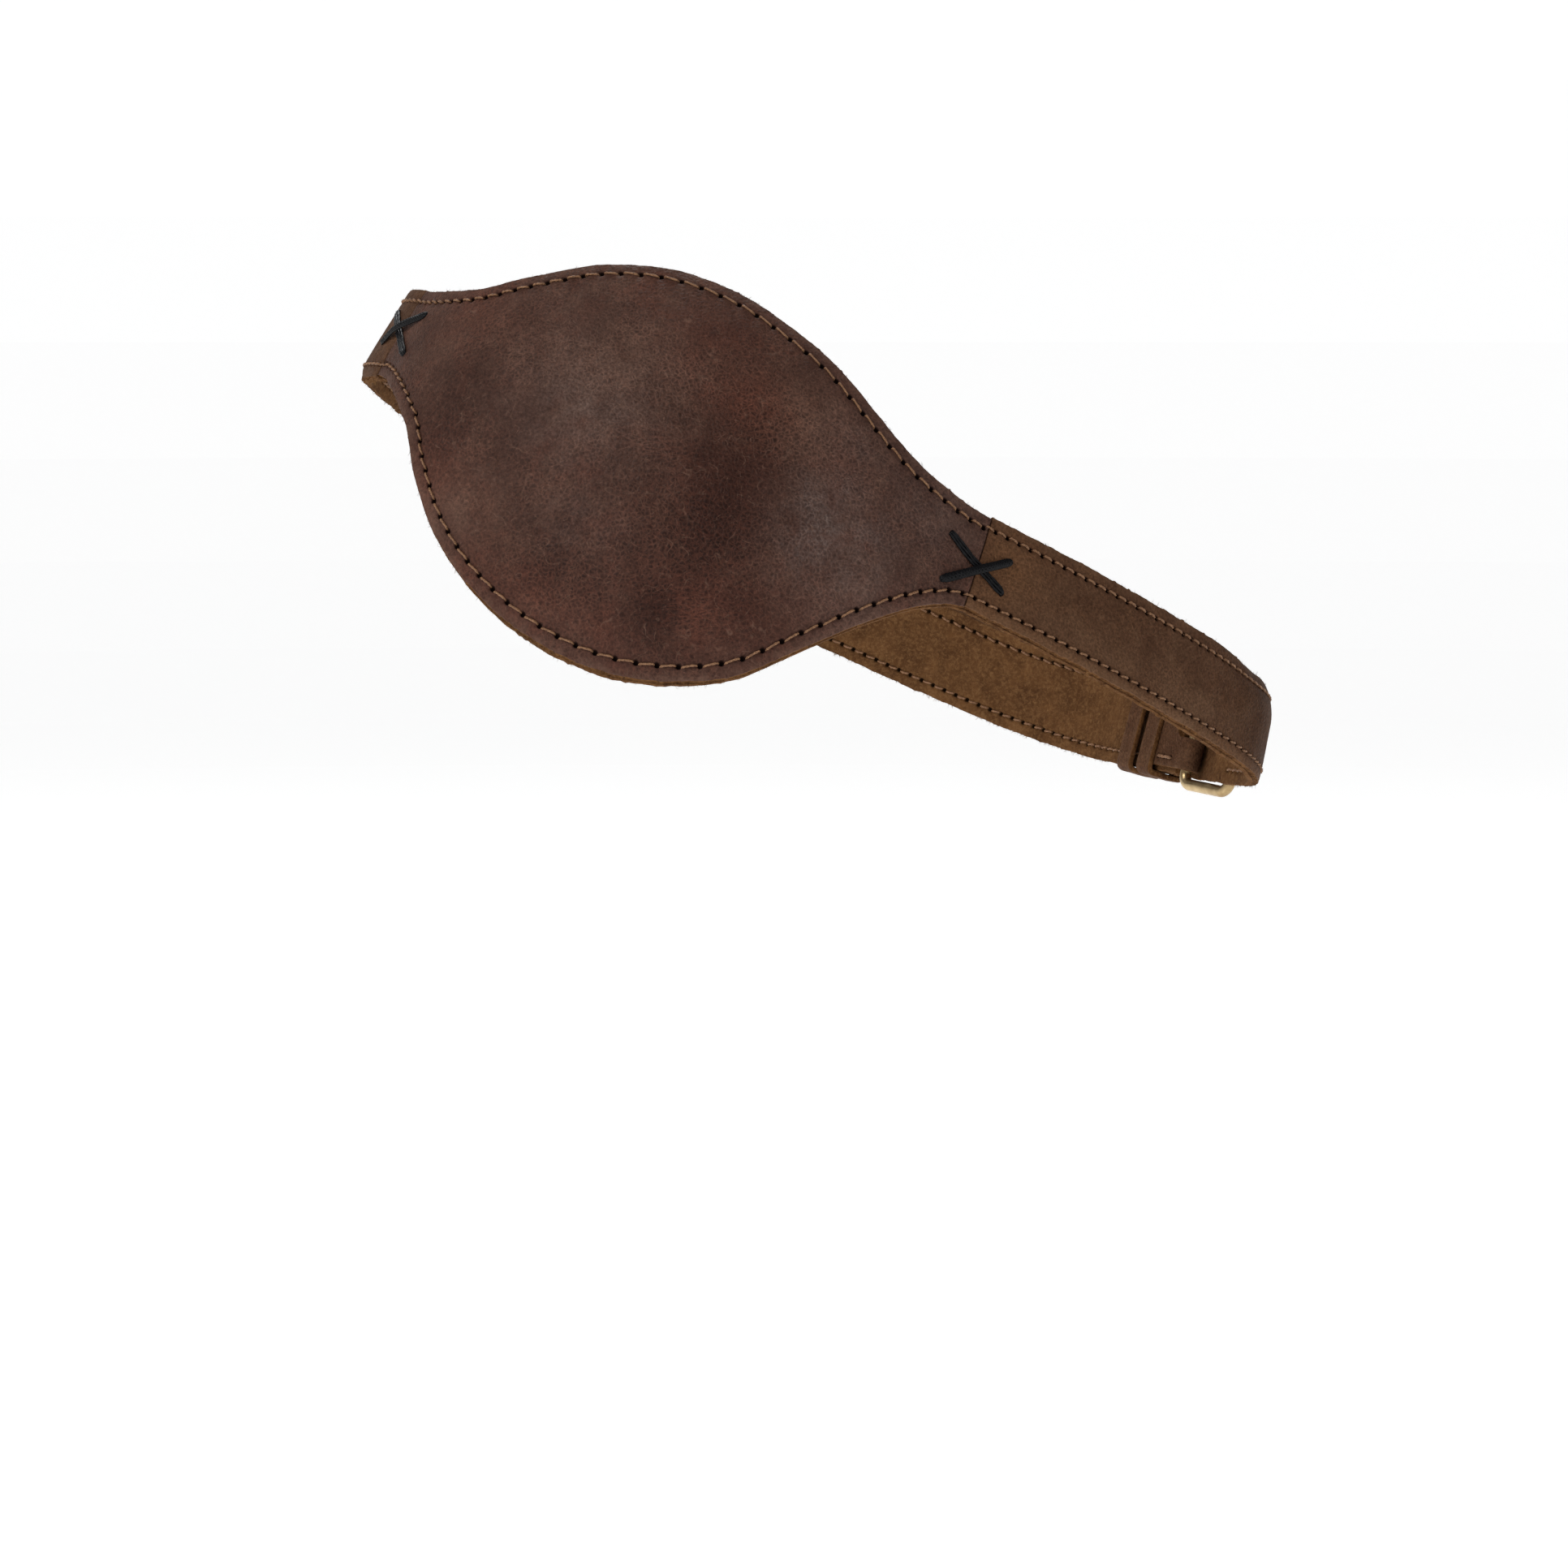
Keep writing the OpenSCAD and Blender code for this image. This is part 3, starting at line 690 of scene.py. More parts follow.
def inset_row(edge, side):
    """Height of a row of stitches inside an edge; side is 1 over a lower edge and -1 under an upper one."""
    def height(s):
        s = np.asarray(s, float)
        g = (edge(s + 0.3) - edge(s - 0.3)) / 0.6
        return edge(s) + side * SEAM_INSET * np.sqrt(1 + g * g)
    return height


def spaced(a, b, gap):
    return np.linspace(a, b, int(math.ceil(abs(b - a) / gap)) + 1)


def seam_pair(s_from, s_to, low, high, pitch, hole_r):
    """Rows of stitches inside both edges, on the face and on the lining: {edge: (face row, lining row)}."""
    rows = {}
    for edge, line, side in (("lower", low, 1), ("upper", high, -1)):
        height = inset_row(line, side)
        rows[edge] = tuple(Row(s_from, s_to, height, pitch, d, hole_r) for d in (0.0, -TOTAL_T))
    return rows


SEAMS = {
    "patch": seam_pair(S_BROW_JOINT + PATCH_SEAM_END, S_TEMPLE_JOINT - PATCH_SEAM_END, low_patch, high_patch,
                       lambda s: curve(PATCH_PITCH, s), PATCH_HOLE_R),
    "temple_strap": seam_pair(S_TEMPLE_JOINT - PATCH_SEAM_END, S_HALF + LINING_END_X - STRAP_SEAM_END,
                              constant(-HALF_W), constant(HALF_W), constant(STRAP_PITCH), STRAP_HOLE_R),
    "brow_strap": seam_pair(-S_HALF + TAB_END + STRAP_SEAM_END, S_BROW_JOINT + PATCH_SEAM_END,
                            strap_low, strap_high, constant(STRAP_PITCH), STRAP_HOLE_R),
}

# Soft blotches of each tone: (station, height, reach along, reach up, strength). The sheen blotches are painted
# sheen, the shade blotches painted shade, and the pale ones lighter leather in part and painted highlight in
# part.
ZONES = {
    "wrinkle": [(88, -26, 22, 22, 1.0), (92, 4, 12, 12, 1.0), (76, 8, 14, 12, 0.8), (70, -38, 20, 9, 0.9)],
    "fold": [(92, -35, 11, 6, 1.0), (76, -9, 12, 4, 0.8)],
    "red": [(98, -32, 14, 10, 0.5), (90, -12, 8, 14, 0.6), (88, 7, 8, 7, 0.8), (36, -28, 7, 9, 0.5),
            (28, 6, 8, 6, 0.4), (64, -43, 22, 6, 0.4), (76, 19, 9, 5, 0.5)],
    # painted sheen, where the leather would reflect the light
    "painted_sheen": [(60, -5, 13, 13, 0.55), (107, -10, 9, 13, 0.9), (116, -14, 8, 12, 0.7), (125, 3, 12, 8, 0.35),
             (106, 8, 8, 6, 0.5), (68, -28, 8, 7, 0.35)],
    # lighter leather in part, painted highlight in part
    "pale": [(11, -1, 8, 11, 0.25), (60, 2, 10, 8, 0.5), (45, -34, 8, 6, 0.55), (97, 8, 8, 8, 0.8),
             (119, -20, 6, 8, 0.3), (24, 0, 8, 9, 0.2)],
    # painted shade
    "shade": [(90, -17, 11, 29, 0.90), (35, -14, 9, 11, 0.52), (48, -17, 9, 9, 0.28), (70, -37, 18, 9, 0.54),
              (78, -14, 10, 20, 0.48), (80, 20, 9, 5, 0.36), (99, -31, 11, 12, 0.66), (87, -37, 8, 9, 0.92),
              (80, -29, 7, 7, 0.64), (84, -8, 5, 8, 0.84), (16, -5, 9, 6, 0.28), (36, -21, 6, 7, 0.55)],
    "scar": [(71, 19, 1.8, 0.30, 0.7), (74, 18.4, 1.2, 0.25, 0.5), (79, 22, 2.2, 0.28, 0.8),
             (82, 21.2, 1.3, 0.3, 0.6)],
}
STRAP_ZONES = {
    "wrinkle": [(225, 0, 20, 8, 0.4)],
    "fold": [],
    "red": [(146, 1, 7, 9, 0.85), (-2, -2, 6, 8, 0.2), (150, -9.6, 30, 1.9, 1.0), (205, -9.6, 50, 1.7, 0.8)],
    # painted sheen
    "painted_sheen": [(-4, 0, 10, 12, 0.55)],
    # lighter towards the lower edge of the strap
    "pale": [(172, -5.5, 26, 4, 0.6), (198, -6, 14, 4, 0.8), (185, -9.8, 45, 1.9, 1.0)],
    # painted shade where the strap turns away
    "shade": [(224, 0, 12, 14, 0.55)],
    "scar": [],
}


FACES = {  # part: (name, CAD node, leather, slot, zones)
    "patch": ("patch_face_leather", "patch_front", PATCH_LEATHER, "face_leather", ZONES),
    "temple_strap": ("temple_strap_leather", "temple_strap", STRAP_LEATHER, "strap_leather", STRAP_ZONES),
    "brow_strap": ("brow_strap_leather", "brow_strap", STRAP_LEATHER, "strap_leather", STRAP_ZONES),
}


# Each tone's blotches become an attribute; the sheen, shade and pale tones carry painted sheen, painted shade
# and, in part, painted highlight.
def paint_zones(mesh, zones):
    s, h = (np.zeros(len(mesh.vertices), np.float32) for _ in range(2))
    mesh.attributes["station"].data.foreach_get("value", s)
    mesh.attributes["height"].data.foreach_get("value", h)
    for tone, spots in zones.items():
        total = np.zeros(len(s))
        for s0, h0, rs, rh, strength in spots:
            total = np.maximum(total, strength * np.exp(-(((s - s0) / rs) ** 2 + ((h - h0) / rh) ** 2)))
        set_attribute(mesh, tone, total)


def build_face(part, cols, low, high, seed, mid_rows, lift=constant(0), cushion=0.0):
    """The face layer of the patch or of a strap, painted with its blotches, among them painted sheen, painted
    highlight and painted shade.
    """
    name, node, leather, slot, zones = FACES[part]
    rows = [face_row for face_row, _ in SEAMS[part].values()]
    layer = leather_layer(name, node, cols, low, high, lift, lambda s: lift(s) - FACE_T, rows,
                          seed, mid_rows, slot, (leather, CUT_EDGE, SUEDE), cushion)
    paint_zones(layer.data, zones)
    return layer


def build_lining(part, cols, low, high, seed, mid_rows):
    """The lining layer of the patch or of a strap."""
    rows = [lining_row for _, lining_row in SEAMS[part].values()]
    leather_layer(f"{part}_lining_leather", f"{part}_lining", cols, low, high, constant(-TOTAL_T),
                  constant(-FACE_T), rows, seed, mid_rows, "lining_leather", (SUEDE, CUT_EDGE, SUEDE))


def billet_hole(x):
    """Outline of a long hole with round ends."""
    run = (HOLE_LEN - HOLE_W) / 2
    ends = arc((x + run, 0), HOLE_W / 2, -90, 90, 13), arc((x - run, 0), HOLE_W / 2, 90, 270, 13)
    return np.concatenate(ends)


def build_layers():
    """Face and lining of the patch and of both straps, with the holes punched through the billet."""
    patch_cols = spaced(S_BROW_JOINT + JOINT_GAP, S_TEMPLE_JOINT - JOINT_GAP, COL_GAP)
    build_face("patch", patch_cols, low_patch, high_patch, seed=3, mid_rows=34, cushion=0.12)
    build_lining("patch", patch_cols[::2], lambda s: low_patch(s) - LINING_PROUD, high_patch,
                 seed=11, mid_rows=26)
    start = S_TEMPLE_JOINT + JOINT_GAP
    temple = build_face("temple_strap", spaced(start, S_HALF + BILLET_TIP, COL_GAP), lambda s: -billet_half(s),
                        billet_half, seed=19, mid_rows=8, lift=billet_lift)
    build_lining("temple_strap", spaced(start, S_HALF + LINING_END_X, LINING_COL_GAP),
                 constant(-HALF_W - LINING_PROUD), constant(HALF_W), seed=23, mid_rows=8)
    brow = -S_HALF + STRAP_END_X, S_BROW_JOINT - JOINT_GAP
    build_face("brow_strap", spaced(*brow, COL_GAP), strap_low, strap_high, seed=29, mid_rows=8)
    build_lining("brow_strap", spaced(*brow, LINING_COL_GAP), strap_low, strap_high, seed=31, mid_rows=8)
    cut_through(temple, [billet_hole(HOLE_X + k * HOLE_PITCH) for k in range(-2, 3)], -6.0, 10.0)


# -------------------- stitches
THREAD_R, TAB_THREAD_R = 0.22, 0.31
THREAD_LIFT = 0.22


def stroke(a, b):
    """Length of the line from a to b, with its directions along and across."""
    length = np.linalg.norm(b - a)
    along = (b - a) / length
    return length, along, np.array([-along[1], along[0]])


def stitch_paths(row, side, slant):
    """Short arcs of thread from each needle hole to the next; side is 1 on the face, -1 on the lining."""
    paths = []
    for i in range(len(row.s) - 1):
        a, b = np.array([row.s[i], row.h[i]]), np.array([row.s[i + 1], row.h[i + 1]])
        length, along, across = stroke(a, b)
        wobble = random.uniform(-0.05, 0.05)
        start, end = 0.40 + 0.05 * length, length - 0.36 - 0.05 * length
        profile = [(start, -0.75), (start + 0.06, -0.30), (start + 0.20, 0.02),
                   (start + 0.45, THREAD_LIFT * 0.85), (start + 0.80, THREAD_LIFT), (end - 0.75, THREAD_LIFT),
                   (end - 0.42, THREAD_LIFT * 0.8), (end - 0.18, 0.02), (end - 0.06, -0.30), (end, -0.75)]
        pts = []
        for x, up in profile:
            f = x / length
            p = a + along * x + across * (slant * (1.5 - 2.2 * f) + wobble * math.sin(math.pi * f))
            pts.append((p[0], p[1], up))
        s, h, up = subdivided(pts)
        paths.append(skin(s, h, row.d_face + side * (up - 0.12)))
    return paths


def thread_piece(name, paths, radius, node):
    """Stitches of two-ply thread along their paths, as one piece."""
    radii = [pinched(radius, path) for path in paths]
    verts, faces = cord_mesh(paths, radii, 10, lobes=2, twist=3.4, lobe_depth=0.17)
    piece(name, verts, faces, [TAN_THREAD], "tan_thread", node)


def build_stitches():
    for part, rows in SEAMS.items():
        for edge, slant in (("upper", 0.20), ("lower", -0.20)):
            face_row, lining_row = rows[edge]
            paths = stitch_paths(face_row, 1, slant) + stitch_paths(lining_row, -1, -slant)
            thread_piece(f"{part}_{edge}_stitches", paths, THREAD_R, f"{part}_{edge}_seam")


# -------------------- lace crosses
LACE_T = 0.9
LACE_STEP = 0.14
TEMPLE_CROSS = ((131.2, 2.5), (146.5, -4.5)), ((132.5, -8.0), (146.5, 3.4))
BROW_CROSS = ((-5.0, 3.7), (13.5, -6.5)), ((-3.5, -4.0), (13.0, 3.3))


def resample(path, gap):
    run = run_along(path)
    at = np.linspace(0, run[-1], max(int(run[-1] / (gap * MM)), 4))
    return np.stack([np.interp(at, run, column) for column in path.T], 1)


def lace_strands(a, b, side, rise, braided):
    """Strands of one stroke from hole to hole: three laid side by side, or five woven into a flat braid."""
    a, b = np.array(a), np.array(b)
    length, along, across = stroke(a, b)
    part = np.linspace(0, 1, 60)
    t = part * length
    to_hole = np.minimum(t, length - t)
    up = LACE_T * 0.50 + rise * np.sin(np.pi * part) ** 2 - 1.35 * (1 - smooth(to_hole / 1.15)) ** 1.5
    d = (0.0 if side > 0 else -TOTAL_T) + side * up
    squeeze = 0.50 + 0.50 * smooth(to_hole / 2.2)
    paths = []
    for k in range(5) if braided else (-1, 0, 1):
        if braided:
            turn = 2 * np.pi * (t / 3.4 + k / 5) + 0.5 * np.sin(t * 0.9)
            offset, over = 0.66 * np.sin(turn) * squeeze, 0.17 * np.cos(2 * turn)
        else:
            offset, over = 0.57 * k * squeeze + 0.05 * np.sin(t * 1.3 + 2 * k), 0.10 if k == 0 else 0.0
        q = a + along * t[:, None] + across * offset[:, None]
        paths.append(resample(skin(q[:, 0], q[:, 1], d + side * over), LACE_STEP))
    return paths


def build_cross(name, strokes, node):
    """A cross of two strokes, the second over the first, with their ends joined on the lining side."""
    (a0, a1), (b0, b1) = strokes
    under = lace_strands(a0, a1, 1, 0.0, False)
    inside = lace_strands(a0, b0, -1, 0.0, False) + lace_strands(a1, b1, -1, 0.0, False)
    over = lace_strands(b0, b1, 1, LACE_T + 0.12, True)
    laid = [pinched(0.29, path) for path in under + inside]
    woven = [pinched(0.27, path) for path in over]
    verts, faces = cord_mesh(under + inside, laid, 12, lobes=3, twist=1.1, lobe_depth=0.10, flat=0.95)
    more, extra = cord_mesh(over, woven, 12, lobes=5, twist=2.2, lobe_depth=0.09, flat=0.8)
    faces += [[i + len(verts) for i in f] for f in extra]
    piece(name, verts + more, faces, [BLACK_LACE], "black_lace", node)


# -------------------- tab and keepers
ROUND_EDGE = 0.32
TAB_STITCH_X = (-2.5, 0.5)
TAB_STITCH_Y = TAB_HALF - 2
TAB_SLOT_HALF = 2.2
SLOT_FROM, SLOT_TO = HEEL_X - 3.6, HEEL_X + 3.6
TAB_STITCH = [(0.0, -0.55), (0.06, -0.1), (0.2, 0.16), (0.5, 0.24), (0.8, 0.16), (0.94, -0.1), (1.0, -0.55)]


def ribbon_section(half, thick):
    """Points round a ribbon's section: place across, lift, distance from the nearer edge, and side."""
    near, r = [0.0, 0.1, ROUND_EDGE], ROUND_EDGE
    widths = np.concatenate([near, np.arange(0.8, 2 * half - 0.5, 0.5), [2 * half - w for w in near[::-1]]])
    section = []
    for side in (1, -1):
        for w in widths[::side]:
            edge = min(w, 2 * half - w)
            drop_in = r - math.sqrt(max(r * r - (r - min(edge, r)) ** 2, 0))
            section.append((w - half, side * (thick / 2 - drop_in), edge, side))
    return section


def ribbon(name, line, normal, half, axis, node, body="root", closed=False, stitches=()):
    """Leather ribbon along a line of [x, y, z] points, half its width to each side along axis."""
    line, normal, axis = np.asarray(line), np.asarray(normal), np.asarray(axis, float)
    section = ribbon_section(half, TAB_T)
    verts, pits = [], []
    for middle, out in zip(line, normal):
        for w, lift, edge, side in section:
            p = middle + axis * w + out * lift
            # pit dents the stitch holes, which the material darkens as painted shade
            pit = max((math.exp(-((np.linalg.norm(p - q) / 0.5) ** 3)) for q in stitches), default=0.0)
            rough = 0.05 * noise.noise(Vector(p) * 0.6) + 0.03 * noise.noise(Vector(p) * 2.1)
            fray = 0.06 * noise.noise(Vector(p) * 1.3 + Vector((9, 0, 0))) if edge < 0.2 else 0
            verts.append(p + out * side * (rough - 0.4 * pit) + axis * fray)
            pits.append(pit)
    n, sides = len(line), len(section)
    look = (STRAP_LEATHER, CUT_EDGE, SUEDE)
    obj = piece(name, back(verts), bar_faces(n, sides, closed), look, "strap_leather", node, body)
    strips = []
    for (_, _, edge, side), (_, _, next_edge, next_side) in zip(section, section[1:] + section[:1]):
        plain = side == next_side and min(edge, next_edge) >= 0.09
        strips.append((ON_FACE if side > 0 else ON_BACK) if plain else ON_CUT)
    ids = strips * n if closed else strips * (n - 1) + [ON_CUT, ON_CUT]
    edges = [math.exp(-((edge / 0.9) ** 2)) for _, _, edge, _ in section] * n
    none = {tone: np.zeros(len(verts)) for tone in ("seam", *ZONES)}
    dress(obj.data, ids, pit=pits, edge=edges, **none)
    return obj


def build_keeper(node, x, z_low, body="root"):
    """Leather loop round the strap and the billet."""
    z_high = BILLET_RISE + KEEPER_GAP
    half = HALF_W + KEEPER_GAP + TAB_T / 2, (z_high - z_low + TAB_T) / 2
    loop, out = rounded_loop((0, (z_low + z_high) / 2), half, 1.4, 9, 0.4)
    line = np.column_stack([np.full(len(loop), x), loop])
    normal = np.column_stack([np.zeros(len(loop)), out])
    ribbon(f"{node}_leather", line, normal, KEEPER_W / 2, (1, 0, 0), node, body, closed=True)


def build_tab():
    """Leather tab folded round the heel bar, with the opening for the prong cut out of its fold."""
    xs = spaced(TAB_END, HEEL_X, 0.4)
    fold = arc((HEEL_X, HEEL_Z), (TOTAL_T + TAB_T) / 2, 90, 270, 17)[1:-1]
    fold_out = arc((0, 0), 1, 90, 270, 17)[1:-1]
    line = [(x, 0, TAB_T / 2) for x in xs] + [(x, 0, z) for x, z in fold]
    line += [(x, 0, -TOTAL_T - TAB_T / 2) for x in xs[::-1]]
    normal = [(0, 0, 1)] * len(xs) + [(x, 0, z) for x, z in fold_out] + [(0, 0, -1)] * len(xs)
    holes = [np.array([x + dx, y, z]) for x in TAB_STITCH_X for dx in (-1.5, 1.5)
             for y in (-TAB_STITCH_Y, TAB_STITCH_Y) for z in (TAB_T, -TOTAL_T - TAB_T)]
    tab = ribbon("buckle_tab_leather", line, normal, TAB_HALF, (0, 1, 0), "buckle_tab", stitches=holes)
    slot_start = [(SLOT_FROM - 3, -TAB_SLOT_HALF), (SLOT_FROM - 3, TAB_SLOT_HALF)]
    slot_end = arc((SLOT_TO - TAB_SLOT_HALF, 0), TAB_SLOT_HALF, 90, -90, 12)
    cut_through(tab, [np.concatenate([slot_start, slot_end])], -6.0, 4.0)


def build_tab_stitches():
    paths = []
    for x in TAB_STITCH_X:
        for y in (-TAB_STITCH_Y, TAB_STITCH_Y):
            for z, side in ((TAB_T, 1), (-TOTAL_T - TAB_T, -1)):
                stitch = [(x - 1.3 + 2.6 * t, y + 0.1 * (t - 0.5), z + side * up) for t, up in TAB_STITCH]
                paths.append(back(np.stack(subdivided(stitch), 1)))
    thread_piece("tab_stitches", paths, TAB_THREAD_R, "tab_stitching")


# -------------------- buckle
PRONG_R, PRONG_EYE_R = 0.8, 2.2
PRONG_CLEAR = 0.05
EYE_POINTS, NECK_POINTS, TONGUE_POINTS = 44, 8, 33


def metal_bar(node, body, line, across, up, wide, high, sides, closed=False):
    verts = back(rings(line, across, up, wide[:, None], high[:, None], sides))
    piece(f"{node}_wire", verts, bar_faces(len(line), sides, closed), [BRASS], "buckle_metal", node, body)


def build_frame():
    """Wire frame of the buckle: a rounded rectangle that tilts up from the heel bar to the front bar."""
    tilt = math.asin((FRONT_Z - HEEL_Z) / FRAME_LEN)
    flat, _ = rounded_loop((-FRAME_LEN / 2, 0), (FRAME_LEN / 2, FRAME_HALF), 2 * WIRE_R, 13, 0.5)
    x, y = flat.T
    line = np.column_stack([HEEL_X + x * math.cos(tilt), y, HEEL_Z - x * math.sin(tilt)])
    tangent = unit(np.roll(line, -1, 0) - np.roll(line, 1, 0))
    up = np.tile([math.sin(tilt), 0, math.cos(tilt)], (len(line), 1))
    radius = WIRE_R * (1 - 0.012 * (1 + np.array([noise.noise(Vector(p) * 0.7) for p in line])))
    metal_bar("buckle_frame", "frame", line, unit(np.cross(tangent, up)), up, radius, radius, 24, closed=True)


def build_prong():
    """Prong bent from one wire: an eye round the heel bar, a neck through the hole, and a tongue."""
    eye_mid, eye_r = (WIRE_R + PRONG_CLEAR + PRONG_EYE_R) / 2, (PRONG_EYE_R - WIRE_R - PRONG_CLEAR) / 2
    rest_z = FRONT_Z + WIRE_R + PRONG_CLEAR + PRONG_R
    knee, tip = np.array([HEEL_X - 4.2, rest_z + 0.05]), np.array([FRONT_X - 2.2, rest_z - 0.05])
    pull = np.array([HEEL_X - 2.9, rest_z - 0.5])
    eye = arc((HEEL_X, HEEL_Z), eye_mid, -215, 128, EYE_POINTS)
    t = np.linspace(0, 1, NECK_POINTS + 1)[1:, None]
    neck = (1 - t) ** 2 * eye[-1] + 2 * t * (1 - t) * pull + t * t * knee
    tongue = knee + (tip - knee) * np.linspace(0, 1, TONGUE_POINTS + 1)[1:, None]
    pts = np.concatenate([eye, neck, tongue])
    line = np.column_stack([pts[:, 0], np.zeros(len(pts)), pts[:, 1]])
    grown = np.concatenate([np.zeros(EYE_POINTS), t[:, 0], np.ones(TONGUE_POINTS)])
    to_tip = np.arange(len(line))[::-1]
    radius = (eye_r + (PRONG_R - eye_r) * grown) * np.where(to_tip < 8, 0.55 + 0.45 * smooth(to_tip / 8), 1)
    radius[[0, -1]] *= (0.7, 0.6)
    side = np.tile([0, 1.0, 0], (len(line), 1))
    up = unit(np.cross(side, np.gradient(line, axis=0)))
    wide = np.minimum(radius * (3.0 - 2.0 * grown), 1.55)
    metal_bar("buckle_prong", "prong", line, side, up, wide, radius, 20)


# -------------------- loose fibres along the cut edges
FRAY_STOP = 31.0  # clear of the lining's end, the buckle and the sliding keeper's travel
CUT_EDGES = [
    (S_BROW_JOINT, S_TEMPLE_JOINT, low_patch, high_patch),
    (S_TEMPLE_JOINT, S_HALF - FRAY_STOP, constant(-HALF_W), constant(HALF_W)),
    (-S_HALF + FRAY_STOP, S_BROW_JOINT, strap_low, strap_high),
]


def fibre(s0, s1, edge, side, d_low, d_high):
    """Path of one fibre that stands out from an edge, or nothing where the edge is clean."""
    s = random.uniform(s0, s1)
    if noise.noise(Vector((s / 6.0, side * 3.0, 2.0))) < random.uniform(-0.5, 0.35):
        return None
    length = random.choice((0.25, 0.35, 0.45, 0.6, 0.9))
    turn, curl = random.uniform(-0.9, 0.9), random.uniform(-0.8, 0.8)
    d, tilt = random.uniform(d_low, d_high), random.uniform(-0.5, 0.5)
    t = np.array([0.0, 0.3, 0.6, 0.85, 1.0])
    a = turn + curl * t
    h = float(edge(np.array([s]))[0]) + side * (length * t * np.cos(a) - 0.12)
    return skin(s + length * t * np.sin(a), h, d + tilt * t * length)


def build_fibres(name, slot, material, per_mm, d_low, d_high):
    """Short tapering fibres along all the cut edges of one layer."""
    paths = []
    for s0, s1, low, high in CUT_EDGES:
        for edge, side in ((low, -1), (high, 1)):
            tries = [fibre(s0, s1, edge, side, d_low, d_high) for _ in range(int((s1 - s0) * per_mm))]
            paths += [path for path in tries if path is not None]
    radii = [random.uniform(0.03, 0.055) * np.linspace(1, 0.25, len(path)) for path in paths]
    verts, faces = cord_mesh(paths, radii, 4)
    piece(name, verts, faces, [material], slot)


# -------------------- stage, lights and camera
FLOOR_Z = -0.30
FLOOR_FLAT, FLOOR_BEND, FLOOR_RISE = 3.0, 4.0, math.radians(35)
FLOOR_SIDES, FLOOR_RINGS = 96, 9
VIEW_AZ, VIEW_EL, VIEW_DIST = math.radians(68), math.radians(5), 1.2
COS_AZ, SIN_AZ, COS_EL, SIN_EL = math.cos(VIEW_AZ), math.sin(VIEW_AZ), math.cos(VIEW_EL), math.sin(VIEW_EL)
VIEW_RIGHT = Vector((COS_AZ, SIN_AZ, 0))
VIEW_BACK = Vector((SIN_AZ * COS_EL, -COS_AZ * COS_EL, SIN_EL))
VIEW_UP = Vector((-SIN_AZ * SIN_EL, COS_AZ * SIN_EL, COS_EL))


def build_stage():
    """Pale floor that curves up at its rim."""
    verts, faces = [], [list(range(FLOOR_SIDES))]
    for a in np.linspace(0, FLOOR_RISE, FLOOR_RINGS):
        r, z = FLOOR_FLAT + FLOOR_BEND * math.sin(a), FLOOR_Z + FLOOR_BEND * (1 - math.cos(a))
        turns = [2 * math.pi * k / FLOOR_SIDES for k in range(FLOOR_SIDES)]
        verts += [(r * math.cos(t), r * math.sin(t), z) for t in turns]
    for i in range(FLOOR_RINGS - 1):
        for k in range(FLOOR_SIDES):
            a, b = i * FLOOR_SIDES + k, i * FLOOR_SIDES + (k + 1) % FLOOR_SIDES
            faces.append([a, a + FLOOR_SIDES, b + FLOOR_SIDES, b])
    look = Graph("floor").surface({
        "Base Color": (0.86, 0.86, 0.85), "Roughness": 0.9,
        "Emission Color": (1, 1, 1), "Emission Strength": 0.70,
    })
    place("floor", new_mesh("floor", verts, faces, [look]))


def area_light(name, direction, distance, size, power, colour=(1, 1, 1)):
    data = bpy.data.lights.new(name, "AREA")
    data.shape, data.size = "DISK", size
    data.energy, data.color = power, colour
    light = place(name, data)
    aim = Vector(direction).normalized()
    light.location = aim * distance
    light.rotation_euler = (-aim).to_track_quat("-Z", "Y").to_euler()


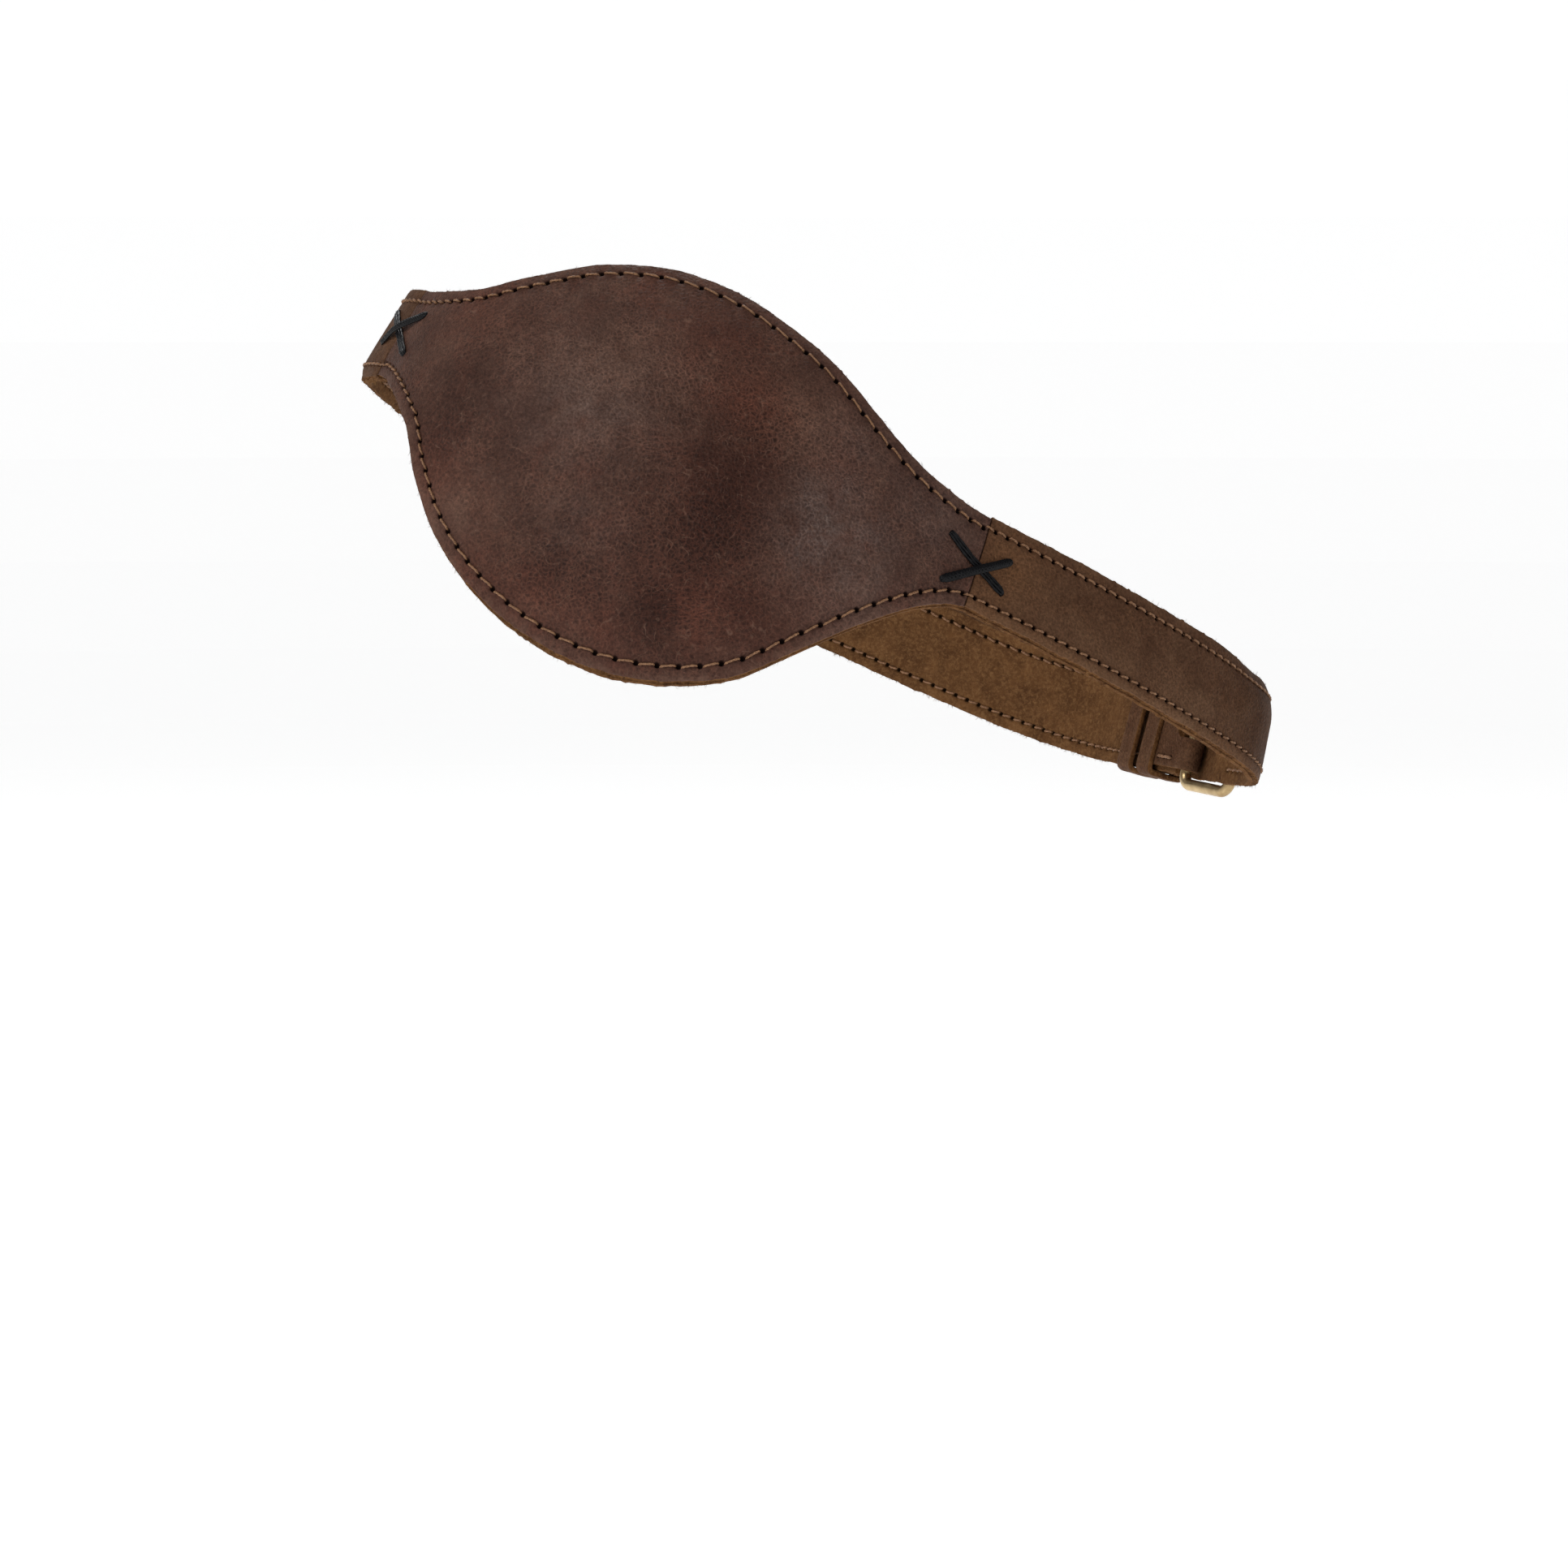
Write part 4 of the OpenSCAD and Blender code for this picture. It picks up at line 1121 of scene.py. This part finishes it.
def build_lights():
    """Three soft lights, and a pale sky that is bright at the horizon and dim overhead."""
    world = bpy.data.worlds.new("studio")
    bpy.context.scene.world = world
    world.use_nodes = True
    tree = world.node_tree
    at = add_node(tree, "TexCoord").outputs["Generated"]
    height = add_node(tree, "SeparateXYZ", {0: at}).outputs["Z"]
    sockets = {"Value": height, "From Min": 0.10, "From Max": 0.35, "To Min": 1.0, "To Max": 0.22}
    fade = add_node(tree, "MapRange", sockets).outputs[0]
    feed(tree, tree.nodes["Background"].inputs["Color"], (0.97, 0.98, 1.0))
    feed(tree, tree.nodes["Background"].inputs["Strength"], fade)
    area_light("key", VIEW_BACK * 0.7 - VIEW_RIGHT * 0.75 + VIEW_UP * 0.85, 1.7, 0.9, 17, (1.0, 0.98, 0.95))
    area_light("fill", VIEW_BACK * 0.8 + VIEW_RIGHT * 0.9 + VIEW_UP * 0.15, 1.9, 0.8, 4, (0.92, 0.96, 1.0))
    area_light("rim", -VIEW_BACK * 0.8 + VIEW_UP * 1.0, 2.0, 1.0, 16)
    bpy.context.scene.view_settings.view_transform = "Standard"


def build_camera():
    data = bpy.data.cameras.new("camera")
    data.sensor_width, data.lens = 36.0, 133.65
    data.clip_start, data.clip_end = 0.05, 50
    camera = place("camera", data)
    look_at = VIEW_RIGHT * -0.00397 + VIEW_UP * -0.05156
    pose = Matrix((VIEW_RIGHT, VIEW_UP, VIEW_BACK)).transposed().to_4x4()
    pose.translation = look_at + VIEW_BACK * VIEW_DIST
    camera.matrix_world = pose
    bpy.context.scene.camera = camera


build_layers()
build_stitches()
build_cross("temple_lace_cross", TEMPLE_CROSS, "temple_cross_stitch")
build_cross("brow_lace_cross", BROW_CROSS, "brow_cross_stitch")
build_tab()
build_tab_stitches()
build_keeper("fixed_keeper", FIXED_KEEPER_X, -TOTAL_T - TAB_T)
build_keeper("sliding_keeper", SLIDING_KEEPER_X, -TOTAL_T - 0.7 - KEEPER_GAP, "keeper")
build_frame()
build_prong()
build_fibres("face_edge_fibres", "face_leather", FIBRE_DARK, 3.2, -FACE_T * 0.9, -0.25)
build_fibres("lining_edge_fibres", "lining_leather", FIBRE_TAN, 4.5, -TOTAL_T + 0.1, -FACE_T - 0.1)
build_stage()
build_lights()
build_camera()
